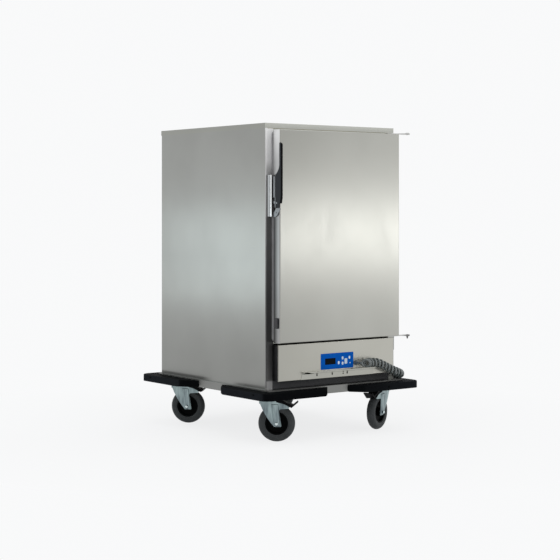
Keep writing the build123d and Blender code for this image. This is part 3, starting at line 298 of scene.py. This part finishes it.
def metal_outside(look, mask):
    """Keep a material metallic except where a mask is set."""
    tree = look.node_tree
    tree.links.new(spread(tree, mask, 0, 1, 1, 0), tree.nodes["Principled BSDF"].inputs["Metallic"])


# A mask of one face reaches this far behind it; where nothing is shaded the tone is full
face_depth = 0.0005
full_tone = (1, 1, 1)


def body_steel():
    """Side sheets: painted shade over the bumpers at the foot, painted light up the sheet, and a painted
    highlight on the front fold, bright at the top.
    """
    look = material("body_steel", brushed_upright, (0.305, 0.309, 0.295), (0.343, 0.348, 0.333), 0.29, metal)
    tree, steel = base_colour(look)
    foot, top = edges("side_panel_left", "Z")
    front, back = edges("side_panel_left", "Y")
    # Painted highlight on the folded front edge, bright at the top
    fold = ramped(tree, "Z", [
        (foot, 0.25), (0.447, 0.21), (0.618, 0.22), (0.874, 0.45), (1.045, 0.7), (1.216, 0.75), (top, 0.9),
    ])
    # Painted light and shade up the sheet, darker towards the foot
    painted_light_up_sheet = ramped(tree, "Z", [
        (foot, 0.8), (0.35, 0.82), (0.447, 0.88), (0.62, 0.98), (0.79, 0.89), (0.96, 0.94), (1.13, 1),
        (top, 0.97),
    ])
    shaded_foot = ramped(tree, "Z", [(foot, 0.5), (0.24, 0.55), (0.246, 1), (0.26, 1)])
    over_bumpers = ramped(tree, "Y", [
        (front, 0.55), (-0.2, 0.5), (-0.15, 0), (0, 0), (0.08, 1), (back, 1),
    ])
    shade = mixed(tree, over_bumpers, full_tone, shaded_foot)
    sheet = product(tree, product(tree, steel, painted_light_up_sheet), shade)
    front_fold = below(tree, "Y", front + face_depth)
    metal_outside(look, front_fold)
    return recolour(look, mixed(tree, front_fold, sheet, fold))


def roof_steel():
    """Roof: painted shade makes the side bands darker than the front band."""
    look = material("roof_steel", brushed_level, (0.45, 0.455, 0.42), (0.5, 0.505, 0.465), 0.34, metal)
    tree, steel = base_colour(look)
    front, back = edges("roof_cap", "Y")
    band = front + 0.002
    # Painted shade on the side bands
    return recolour(look, product(tree, steel, ramped(tree, "Y", [(front, 1), (band, 0.68), (back, 0.68)])))


def painted_shade_to_latch(look):
    """Paint shade on a front sheet: a little darker towards the latch side."""
    tree, steel = base_colour(look)
    # Painted shade, darker towards the latch side
    return recolour(look, product(tree, steel, ramped(tree, "X", [(-0.34, 0.82), (-0.1, 0.91), (0.34, 1)])))


def door_steel():
    """Door: painted shade to the latch side; the free edge is darker, with painted light at its top and
    painted shade at its back below the latch.
    """
    look = painted_shade_to_latch(
        material("door_steel", brushed_upright, (0.412, 0.412, 0.38), (0.45, 0.45, 0.418), 0.31, metal)
    )
    tree, steel = base_colour(look)
    foot, top = edges("door_skin", "Z")
    front, back = edges("door_skin", "Y")
    free_side = edges("door_skin", "X")[0]
    # Painted light and shade down the free edge, bright at the top
    upright = ramped(tree, "Z", [
        (foot, 0.34), (0.618, 0.27), (0.874, 0.25), (1.1, 0.3), (1.15, 0.45), (1.216, 0.49), (1.26, 0.6),
        (1.323, 0.73), (top, 0.75),
    ])
    # Painted shade towards the back of the free edge, by the gap at the jamb
    painted_gap_shade = ramped(tree, "Y", [
        (front, 1), (-0.459, 1), (-0.452, 0.83), (-0.444, 0.6), (-0.437, 0.42), (back, 0.35),
    ])
    under_latch = ramped(tree, "Z", [(foot, 1), (1.14, 1), (1.155, 0), (top, 0)])
    free_edge = product(tree, upright, mixed(tree, under_latch, full_tone, painted_gap_shade))
    return recolour(look, mixed(tree, below(tree, "X", free_side + face_depth), steel, free_edge))


def panel_steel():
    """Module cover: painted shade towards the latch side, as on the door."""
    return painted_shade_to_latch(
        material("panel_steel", brushed_upright, (0.45, 0.445, 0.40), (0.49, 0.485, 0.44), 0.34, metal)
    )


def jamb_steel():
    """Jamb: painted light and shade on the strip beside the door, bright over the keeper and dark under it;
    painted shade along the foot.
    """
    look = material("jamb_steel", brushed_upright, (0.42, 0.43, 0.40), (0.48, 0.49, 0.455), 0.32, metal)
    tree, steel = base_colour(look)
    foot, top = edges("front_frame", "Z")
    strip_width = 0.035
    strip = below(tree, "X", edges("front_frame", "X")[0] + strip_width)
    # Painted light over the keeper and painted shade under it
    painted_strip_light_and_shade = ramped(tree, "Z", [
        (foot, 0.3), (0.262, 0.3), (0.268, 0.075), (0.34, 0.04), (0.447, 0.03), (0.618, 0.042),
        (0.874, 0.085), (1.148, 0.11), (1.156, 0.4), (1.18, 0.5), (1.216, 0.78), (top, 0.95),
    ])
    # Painted shade along the frame's foot
    painted_foot_shade = ramped(tree, "Z", [(foot, 0.36), (0.262, 0.36), (0.27, 1), (top, 1)])
    metal_outside(look, strip)
    return recolour(look, mixed(tree, strip, product(tree, steel, painted_foot_shade), painted_strip_light_and_shade))


def hinge_steel():
    """Hinges and handles: the lower pair of straps is darker towards its pin."""
    look = material("hinge_steel", brushed_level, (0.42, 0.42, 0.41), (0.5, 0.5, 0.49), 0.3, metal)
    tree, steel = base_colour(look)
    low_pair = ramped(tree, "Z", [(0.36, 1), (0.5, 1), (0.55, 0), (1.35, 0)])
    # Darker towards the lower hinge's pin
    wear = ramped(tree, "X", [(0.37, 1), (0.4, 0.45), (0.413, 0.24), (0.422, 0.4)])
    return recolour(look, product(tree, steel, mixed(tree, low_pair, full_tone, wear)))


def ledge_steel():
    """Ledge: shaded just under its lip."""
    look = material("ledge_steel", brushed_level, (0.37, 0.37, 0.335), (0.43, 0.43, 0.39), 0.3, metal)
    tree, steel = base_colour(look)
    foot, lip = edges("grip_ledge", "Z")
    return recolour(look, product(tree, steel, ramped(tree, "Z", [
        (foot, 1), (0.2875, 1), (0.2895, 0.6), (0.2919, 0.6), (0.2921, 1), (lip, 1),
    ])))


def bumper_black():
    """Bumpers: painted shade, darker on their front faces than on the left side."""
    look = material("bumper", moulded, (0.011, 0.0125, 0.015), (0.015, 0.017, 0.02), 0.6, matt)
    tree, black = base_colour(look)
    # Painted shade by facing: the left side faces lightest, the front faces darkest
    return recolour(look, product(tree, black, ramped(tree, "X", [
        (-0.445, 1), (-0.4385, 1), (-0.434, 0.25), (0, 0.2), (0.25, 0.5), (0.445, 0.9),
    ])))


def keeper_chrome():
    """Keeper: painted reflection, bright along its rounded side and dark in front."""
    look = material("chrome", moulded, (0.86, 0.88, 0.89), (0.92, 0.94, 0.95), 0.12, metal)
    tree, chrome = base_colour(look)
    front, back = edges("latch_keeper", "Y")
    outer, inner = edges("latch_keeper", "X")
    # Painted reflection along the rounded side
    painted_side_reflection = ramped(tree, "Y", [(front, 1), (-0.409, 1), (back, 0.4)])
    # Painted reflection across the front, dark in the middle
    painted_front_reflection = ramped(tree, "X", [
        (outer, 1), (-0.3508, 1), (-0.3495, 0.35), (-0.347, 0.2), (-0.345, 0.3), (inner, 0.4),
    ])
    return recolour(look, product(tree, chrome, product(tree, painted_side_reflection, painted_front_reflection)))


def lever_black():
    """Lever: black in front, its cheek painted grey as lit."""
    look = material("lever_black", moulded, (0.001, 0.0014, 0.0018), (0.003, 0.0036, 0.0042), 0.4, faint)
    tree, black = base_colour(look)
    cheek_depth = 0.0012
    painted_lit_cheek = below(tree, "X", edges("latch_lever", "X")[0] + cheek_depth)
    # Painted light: the cheek is grey where it catches the light
    return recolour(look, mixed(tree, painted_lit_cheek, black, (0.034, 0.038, 0.043)))


# Plain materials: finish, dark tone, light tone, roughness and shader settings
plain_looks = {
    "inner_steel": (brushed_upright, (0.5, 0.5, 0.5), (0.58, 0.58, 0.58), 0.25, metal),
    "base_steel": (brushed_level, (0.2, 0.203, 0.195), (0.25, 0.253, 0.245), 0.3, metal),
    # Painted shade: the module housing is dark because it stands back in the shade under the ledge
    "painted_shade_tray_steel": (brushed_level, (0.052, 0.053, 0.056), (0.066, 0.067, 0.07), 0.4, dim_gloss),
    "latch_zinc": (moulded, (0.16, 0.17, 0.18), (0.22, 0.23, 0.24), 0.26, metal),
    "zinc": (plated, (0.15, 0.185, 0.2), (0.33, 0.41, 0.415), 0.34, metal),
    "rivet": (moulded, (0.6, 0.68, 0.68), (0.7, 0.78, 0.78), 0.3, metal),
    "black_plastic": (moulded, (0.003, 0.003, 0.004), (0.006, 0.006, 0.007), 0.38, faint),
    "catch_plastic": (moulded, (0.035, 0.034, 0.038), (0.05, 0.049, 0.053), 0.4, soft),
    "hub_black": (moulded, (0.0005, 0.0008, 0.0008), (0.001, 0.0016, 0.0016), 0.5, dull),
    "tyre": (vulcanised, (0.034, 0.038, 0.039), (0.056, 0.061, 0.063), 0.6, soft),
    "seal": (vulcanised, (0.25, 0.25, 0.255), (0.32, 0.322, 0.33), 0.6, soft),
    "wool": (vulcanised, (0.5, 0.44, 0.26), (0.62, 0.56, 0.36), 0.9, soft),
    "label_blue": (moulded, (0.0, 0.082, 0.41), (0.0, 0.094, 0.46), 0.34, faint),
    "window_black": (moulded, (0.003, 0.004, 0.006), (0.004, 0.0055, 0.008), 0.2, faint),
    "key_grey": (moulded, (0.5, 0.6, 0.7), (0.56, 0.66, 0.76), 0.35, soft),
    "print_white": (moulded, (0.66, 0.74, 0.82), (0.72, 0.8, 0.88), 0.4, soft),
    "sheath": (moulded, (0.075, 0.092, 0.092), (0.11, 0.128, 0.127), 0.26, sheathed),
    "plug_black": (moulded, (0.008, 0.008, 0.009), (0.014, 0.014, 0.015), 0.4, soft),
    "heater_tube": (spangled, (0.16, 0.15, 0.14), (0.24, 0.22, 0.2), 0.45, metal),
    "motor_metal": (spangled, (0.42, 0.43, 0.45), (0.5, 0.51, 0.53), 0.4, metal),
    "screw_black": (moulded, (0.0006, 0.0006, 0.0006), (0.001, 0.001, 0.001), 0.5, faint),
}
looks = {
    "body_steel": body_steel(),
    "roof_steel": roof_steel(),
    "door_steel": door_steel(),
    "panel_steel": panel_steel(),
    "jamb_steel": jamb_steel(),
    "hinge_steel": hinge_steel(),
    "ledge_steel": ledge_steel(),
    "bumper": bumper_black(),
    "chrome": keeper_chrome(),
    "lever_black": lever_black(),
    **{name: material(name, *values) for name, values in plain_looks.items()},
}

# CAD nodes that wear each material
wearers = {
    "body_steel": ["side_panel_left", "side_panel_right", "back_panel"],
    "door_steel": ["door_skin", "door_liner"],
    "panel_steel": ["control_panel"],
    "jamb_steel": ["front_frame"],
    "roof_steel": ["roof_cap"],
    "inner_steel": ["inner_liner", "pan_racks"],
    "base_steel": ["base_frame"],
    "ledge_steel": ["grip_ledge"],
    "painted_shade_tray_steel": ["module_housing"],
    "hinge_steel": ["hinge_arms", "hinge_brackets", "push_handles"],
    "chrome": ["latch_keeper"],
    "latch_zinc": ["latch_housing", "latch_hook"],
    "zinc": ["caster_plates", *[f"{corner}_{part}" for corner in casters for part in ("fork", "axle")]],
    "bumper": [f"bumper_{corner}" for corner in casters],
    "black_plastic": [f"{corner}_pedal" for corner in casters],
    "catch_plastic": ["door_catch"],
    "lever_black": ["latch_lever"],
    "hub_black": [f"{corner}_hub" for corner in casters],
    "tyre": [f"{corner}_tyre" for corner in casters],
    "seal": ["door_gasket"],
    "wool": ["cabinet_insulation", "door_insulation"],
    "label_blue": ["keypad_foil"],
    "window_black": ["display_unit"],
    "key_grey": ["key_power", "key_up", "key_down"],
    "sheath": ["cord_gland"],
    "plug_black": ["power_plug"],
    "heater_tube": ["heating_element"],
    "motor_metal": ["fan_motor", "fan_rotor"],
}
for look_name, dressed in wearers.items():
    for node_name in dressed:
        node_data = nodes[node_name].data
        node_data.materials.clear()
        node_data.materials.append(looks[look_name])


# Small pieces
def mesh_piece(name, build, look, body):
    """Mesh made by a function that fills a bmesh, with a look, riding on a body."""
    shape = bmesh.new()
    build(shape)
    bmesh.ops.recalc_face_normals(shape, faces=shape.faces)
    data = bpy.data.meshes.new(name)
    shape.to_mesh(data)
    shape.free()
    data.materials.append(looks[look])
    piece = link(bpy.data.objects.new(name, data))
    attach(piece, body)
    return piece


def turned(shape, profile, sides, turn, centre):
    """Closed turned shape: (radius, height) pairs round an axis, turned and moved into place."""
    loops = []
    for radius, height in profile:
        loop = []
        for i in range(sides):
            angle = 2 * pi * i / sides
            spot = turn @ Vector((radius * cos(angle), radius * sin(angle), height)) + centre
            loop.append(shape.verts.new(spot))
        loops.append(loop)
    for lower, upper in zip(loops, loops[1:]):
        for i in range(sides):
            j = (i + 1) % sides
            shape.faces.new((lower[i], lower[j], upper[j], upper[i]))
    shape.faces.new(loops[0][::-1])
    shape.faces.new(loops[-1])


# Screw and rivet heads: the flange, dome and socket are radius and height in shares of the head's radius
rivet_radius = 0.0058
bumper_screw_radius = 0.0042
head_profile = ((1.15, 0.1), (1, 0.3), (0.72, 0.46), (0.42, 0.5), (0.38, 0.15))
head_sides = 24
head_sunk = 0.0002


def screw(name, spot, way, radius, body, look):
    """Domed screw or rivet head with a socket, standing off a face."""
    turn = Vector(way).to_track_quat("Z", "Y").to_matrix()
    centre = Vector(spot)

    def build(shape):
        foot = (radius * head_profile[0][0], -head_sunk)
        profile = [foot, *[(radius * across, radius * up) for across, up in head_profile]]
        turned(shape, profile, head_sides, turn, centre)

    return mesh_piece(name, build, look, body)


def on_surface(node, spot, way):
    """Where a ray towards a spot, coming against a direction, meets a node's face."""
    run_up = 0.3
    toward = Vector(way).normalized()
    found, place, _, _ = nodes[node].ray_cast(Vector(spot) + toward * run_up, -toward)
    return place if found else Vector(spot)


def rivet_axle(corner, heading):
    """Rivet head on each end of a caster's axle."""
    low, high = (Vector(c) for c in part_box(f"{corner}_axle"))
    axle = Vector((-sin(radians(heading)), cos(radians(heading)), 0))
    for side, way in (("near", -axle), ("far", axle)):
        face = on_surface(f"{corner}_axle", (low + high) / 2, way)
        screw(f"rivet_{corner}_{side}", face, way, rivet_radius, f"{corner}_swivel", "rivet")


def fasten_bumper(corner):
    """Screw in each outer face of a bumper, set in from the bumper's corner and down from its top."""
    side_inset = 0.091
    side_drop = 0.0105
    end_inset = 0.193
    end_drop = 0.0155
    bumper = f"bumper_{corner}"
    right = 1 if "right" in corner else -1
    rear = 1 if "rear" in corner else -1
    reach_x = max(abs(x) for x in edges(bumper, "X"))
    reach_y = max(abs(y) for y in edges(bumper, "Y"))
    top = edges(bumper, "Z")[1]
    for side, spot, way in (
        ("side", (right * reach_x, rear * (reach_y - side_inset), top - side_drop), (right, 0, 0)),
        ("end", (right * (reach_x - end_inset), rear * reach_y, top - end_drop), (0, rear, 0)),
    ):
        face = on_surface(bumper, spot, way)
        screw(f"bumper_screw_{corner}_{side}", face, way, bumper_screw_radius, "cabinet", "screw_black")


def round_bumper(corner):
    """Rounded edges of a moulded bumper."""
    joined = nodes[f"bumper_{corner}"].modifiers.new("joined", "WELD")
    joined.merge_threshold = 0.00002
    rounding = nodes[f"bumper_{corner}"].modifiers.new("rounding", "BEVEL")
    rounding.width = 0.006
    rounding.segments = 3
    rounding.limit_method = "ANGLE"
    rounding.angle_limit = radians(50)


for corner, heading in headings.items():
    rivet_axle(corner, heading)
    fasten_bumper(corner)
    round_bumper(corner)

# Curly cord, with the sizes and the route of its solid
cord_diameter = 0.0096
coil_diameter = 0.042
curl_count = 23
curl_ramp = 0.026
curl_route = [
    (0.1016, -0.466, 0.322),
    (0.1016, -0.487, 0.322),
    (0.124, -0.491, 0.321),
    (0.151, -0.470, 0.3196),
    (0.184, -0.468, 0.3202),
    (0.220, -0.468, 0.314),
    (0.258, -0.4675, 0.296),
    (0.296, -0.467, 0.279),
    (0.332, -0.464, 0.266),
    (0.364, -0.447, 0.256),
    (0.390, -0.414, 0.2505),
    (0.397, -0.374, 0.2465),
    (0.399, -0.338, 0.2458),
    (0.399, -0.302, 0.2456),
    (0.400, -0.275, 0.2436),
    (0.400, -0.254, 0.2436),
]

# The first curls hang a little loose: share of the cord, and how their reach and pitch wander
loose_share = 0.26
reach_wander = 0.12
reach_beat = 0.37
pitch_wander = 0.012
pitch_beat = 9


def spline_curve(name, points, thickness, resolution):
    """Curve object of one open, smooth spline."""
    data = bpy.data.curves.new(name, "CURVE")
    data.dimensions = "3D"
    data.resolution_u = resolution
    data.bevel_depth = thickness
    data.bevel_resolution = 4
    data.use_fill_caps = thickness > 0
    line = data.splines.new("NURBS")
    line.points.add(len(points) - 1)
    for target, point in zip(line.points, points):
        target.co = (*point, 1)
    line.order_u = 3
    line.use_endpoint_u = True
    return bpy.data.objects.new(name, data)


def traced(points):
    """Fine steps along the smooth curve through a route, and the distance run up to each."""
    guide = spline_curve("coil_guide", points, thickness=0, resolution=60)
    mesh = bpy.data.meshes.new_from_object(guide)
    steps = [vertex.co.copy() for vertex in mesh.vertices]
    bpy.data.objects.remove(guide)
    bpy.data.meshes.remove(mesh)
    distances = [0.0]
    for before, after in zip(steps, steps[1:]):
        distances.append(distances[-1] + (after - before).length)
    return steps, distances


spine, run = traced(curl_route)


def along(distance):
    """Point on the coil's middle at a distance from its start."""
    distance = min(max(distance, 0), run[-1])
    i = 0
    while i < len(run) - 2 and run[i + 1] < distance:
        i += 1
    share = (distance - run[i]) / max(run[i + 1] - run[i], 1e-9)
    return spine[i].lerp(spine[i + 1], share)


def smooth_step(x):
    """Rise from 0 to 1 with level ends."""
    x = max(0.0, min(1.0, x))
    return x * x * (3 - 2 * x)


def helix_points(per_turn):
    """Points of the curly cord, straight for one diameter at each end."""
    nudge = 0.001
    curled = run[-1] - 2 * cord_diameter
    radius = (coil_diameter - cord_diameter) / 2
    count = curl_count * per_turn
    points = [spine[0].copy(), spine[0].lerp(along(cord_diameter), 0.5)]
    for i in range(count + 1):
        share = i / count
        at = cord_diameter + share * curled
        forward = (along(at + nudge) - along(at - nudge)).normalized()
        sideways = Vector((0, 0, 1)).cross(forward).normalized()
        upward = forward.cross(sideways)
        ramp = smooth_step(share * curled / curl_ramp) * smooth_step((1 - share) * curled / curl_ramp)
        loose = 1 - smooth_step(share / loose_share)
        swell = 1 + reach_wander * loose * sin(2 * pi * curl_count * share * reach_beat)
        reach = radius * ramp * swell
        slip = pitch_wander * loose * sin(2 * pi * share * pitch_beat)
        angle = 2 * pi * curl_count * (share + slip) - pi / 2
        points.append(along(at) + sideways * (reach * cos(angle)) + upward * (reach * sin(angle)))
    points.append(spine[-1].lerp(along(run[-1] - cord_diameter), 0.5))
    points.append(spine[-1].copy())
    return points


curl_shape = helix_points(per_turn=20)
curly = link(spline_curve("curly_lead", curl_shape, thickness=cord_diameter / 2, resolution=2))
curly.data.materials.append(looks["sheath"])
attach(curly, "cabinet")
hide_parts("curly_cord")

# Dark patches on the ledge, one a painted shadow under its lip, and marks on the label
patch_proud = 0.0003
patch_sunk = 0.0002


def patch(name, back, face, look):
    """Thin closed plate between two outlines."""

    def build(shape):
        behind = [shape.verts.new(point) for point in back]
        front = [shape.verts.new(point) for point in face]
        shape.faces.new(front)
        shape.faces.new(behind[::-1])
        for i in range(len(front)):
            j = (i + 1) % len(front)
            shape.faces.new((behind[i], behind[j], front[j], front[i]))

    return mesh_piece(name, build, look, "cabinet")


def dark_ledge_patch(name, outline):
    """Dark patch on the ledge, from (x, z) points laid on its front."""
    ledge_back = edges("grip_ledge", "Y")[1]
    spots = [on_surface("grip_ledge", (x, ledge_back, z), (0, -1, 0)) for x, z in outline]
    back = [(spot.x, spot.y + patch_sunk, spot.z) for spot in spots]
    face = [(spot.x, spot.y - patch_proud, spot.z) for spot in spots]
    return patch(name, back, face, "screw_black")


def printed_mark(name, across, up, width, height, corner):
    """Thin rounded patch on the label, placed from the label's lower left corner."""
    low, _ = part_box("keypad_foil")
    corner_steps = 6
    outline = []
    for right, top, start in ((1, 1, 0), (-1, 1, 90), (-1, -1, 180), (1, -1, 270)):
        for step in range(corner_steps + 1):
            angle = radians(start + 90 * step / corner_steps)
            outline.append((
                low[0] + across + right * (width / 2 - corner) + corner * cos(angle),
                low[2] + up + top * (height / 2 - corner) + corner * sin(angle),
            ))
    back = [(x, low[1], z) for x, z in outline]
    face = [(x, low[1] - patch_proud, z) for x, z in outline]
    return patch(name, back, face, "print_white")


# Painted shadow of the slit under the lip, from the ledge's upper left corner: its part in the lip, and its
# part in the plate
ledge_left = edges("grip_ledge", "X")[0]
ledge_top = edges("grip_ledge", "Z")[1]
slits = {
    "painted_slit_shadow": [(0.0092, -0.0001), (0.026, -0.0001), (0.04, -0.0035), (0.046, -0.0049), (0.0092, -0.0049)],
    "painted_slit_shadow_end": [
        (0.012, -0.0056), (0.04, -0.006), (0.071, -0.0085), (0.071, -0.0097), (0.04, -0.0098),
        (0.012, -0.0085),
    ],
}
for name, outline in slits.items():
    dark_ledge_patch(name, [(ledge_left + across, ledge_top + up) for across, up in outline])

# Notches: the middle of each from the ledge's left end, and its height
notches = [(0.088, 0.009), (0.174, 0.009), (0.236, 0.005), (0.259, 0.009)]
notch_foot = ledge_top - 0.021
notch_reach = 0.003
for number, (middle, tall) in enumerate(notches):
    left = ledge_left + middle - notch_reach
    right = ledge_left + middle + notch_reach
    top = notch_foot + tall
    outline = [(left, notch_foot), (right, notch_foot), (right, top), (left, top)]
    dark_ledge_patch(f"ledge_notch_{number + 1}", outline)

printed_mark("mark_set", across=0.101, up=0.026, width=0.010, height=0.014, corner=0.0045)
printed_mark("mark_lamp", across=0.1623, up=0.0462, width=0.009, height=0.013, corner=0.0042)
printed_mark("mark_heat", across=0.1652, up=0.022, width=0.004, height=0.005, corner=0.0015)

# Floor, light and background
background = (0.945, 0.95, 0.955, 1)
floor_grey = (0.9, 0.9, 0.9, 1)
floor_reach = 30
world_light = 0.78

# The floor is seen as the background, but less of it round the object, so that the shadow shows
fade_start = 0.4
fade_end = 1.8
glow_at_object = 0.84


def floor_material():
    """Matt floor that is seen as the background, apart from the shadow round the object."""
    look = bpy.data.materials.new("floor")
    look.use_nodes = True
    tree = look.node_tree
    lit = tree.nodes["Principled BSDF"]
    lit.inputs["Base Color"].default_value = floor_grey
    lit.inputs["Roughness"].default_value = 0.95
    lit.inputs["Specular IOR Level"].default_value = 0
    glow = add(tree, "Emission")
    glow.inputs["Color"].default_value = background
    rays = add(tree, "LightPath")
    seen = maths(tree, "MAXIMUM", rays.outputs["Is Camera Ray"], rays.outputs["Is Glossy Ray"])
    distance = add(tree, "VectorMath", operation="LENGTH")
    tree.links.new(add(tree, "TexCoord").outputs["Object"], distance.inputs[0])
    fade = spread(tree, distance.outputs["Value"], fade_start, fade_end, glow_at_object, 1)
    blend = add(tree, "MixShader")
    tree.links.new(maths(tree, "MULTIPLY", fade, seen), blend.inputs[0])
    tree.links.new(lit.outputs[0], blend.inputs[1])
    tree.links.new(glow.outputs[0], blend.inputs[2])
    tree.links.new(blend.outputs[0], tree.nodes["Material Output"].inputs["Surface"])
    return look


def studio_world():
    """World that lights at its own strength and is seen as the plain background."""
    world = bpy.data.worlds.new("studio")
    world.use_nodes = True
    tree = world.node_tree
    plain = tree.nodes["Background"]
    plain.inputs["Color"].default_value = background
    rays = add(tree, "LightPath")
    seen = maths(tree, "MAXIMUM", rays.outputs["Is Camera Ray"], rays.outputs["Is Glossy Ray"])
    seen_through = maths(tree, "MAXIMUM", seen, rays.outputs["Is Transmission Ray"])
    tree.links.new(spread(tree, seen_through, 0, 1, world_light, 1), plain.inputs["Strength"])
    return world


def softbox(name, spot, target, width, height, power, colour=(1, 1, 1)):
    """Area lamp that points at a target."""
    data = bpy.data.lights.new(name, "AREA")
    data.shape = "RECTANGLE"
    data.size = width
    data.size_y = height
    data.energy = power
    data.color = colour
    lamp = link(bpy.data.objects.new(name, data))
    lamp.location = spot
    aim = Vector(target) - Vector(spot)
    lamp.rotation_euler = aim.to_track_quat("-Z", "Y").to_euler()
    return lamp


floor_data = bpy.data.meshes.new("floor")
floor_corners = [(x * floor_reach, y * floor_reach, 0) for x, y in ((-1, -1), (1, -1), (1, 1), (-1, 1))]
floor_data.from_pydata(floor_corners, [], [(0, 1, 2, 3)])
floor_data.materials.append(floor_material())
floor = link(bpy.data.objects.new("floor", floor_data))
scene.world = studio_world()

softbox("overhead", spot=(0, -0.5, 3.6), target=(0, 0, 0.6), width=3.5, height=3.5, power=26)
softbox("door_light", spot=(1.37, -1.87, 0.87), target=(1.37, -0.4, 0.87), width=2.0, height=0.3, power=4.7)
softbox("side_light", spot=(-1.365, 1.2, 0.755), target=(-0.365, 1.2, 0.755), width=1.5, height=0.5,
        power=2.6, colour=(0.84, 0.97, 1))
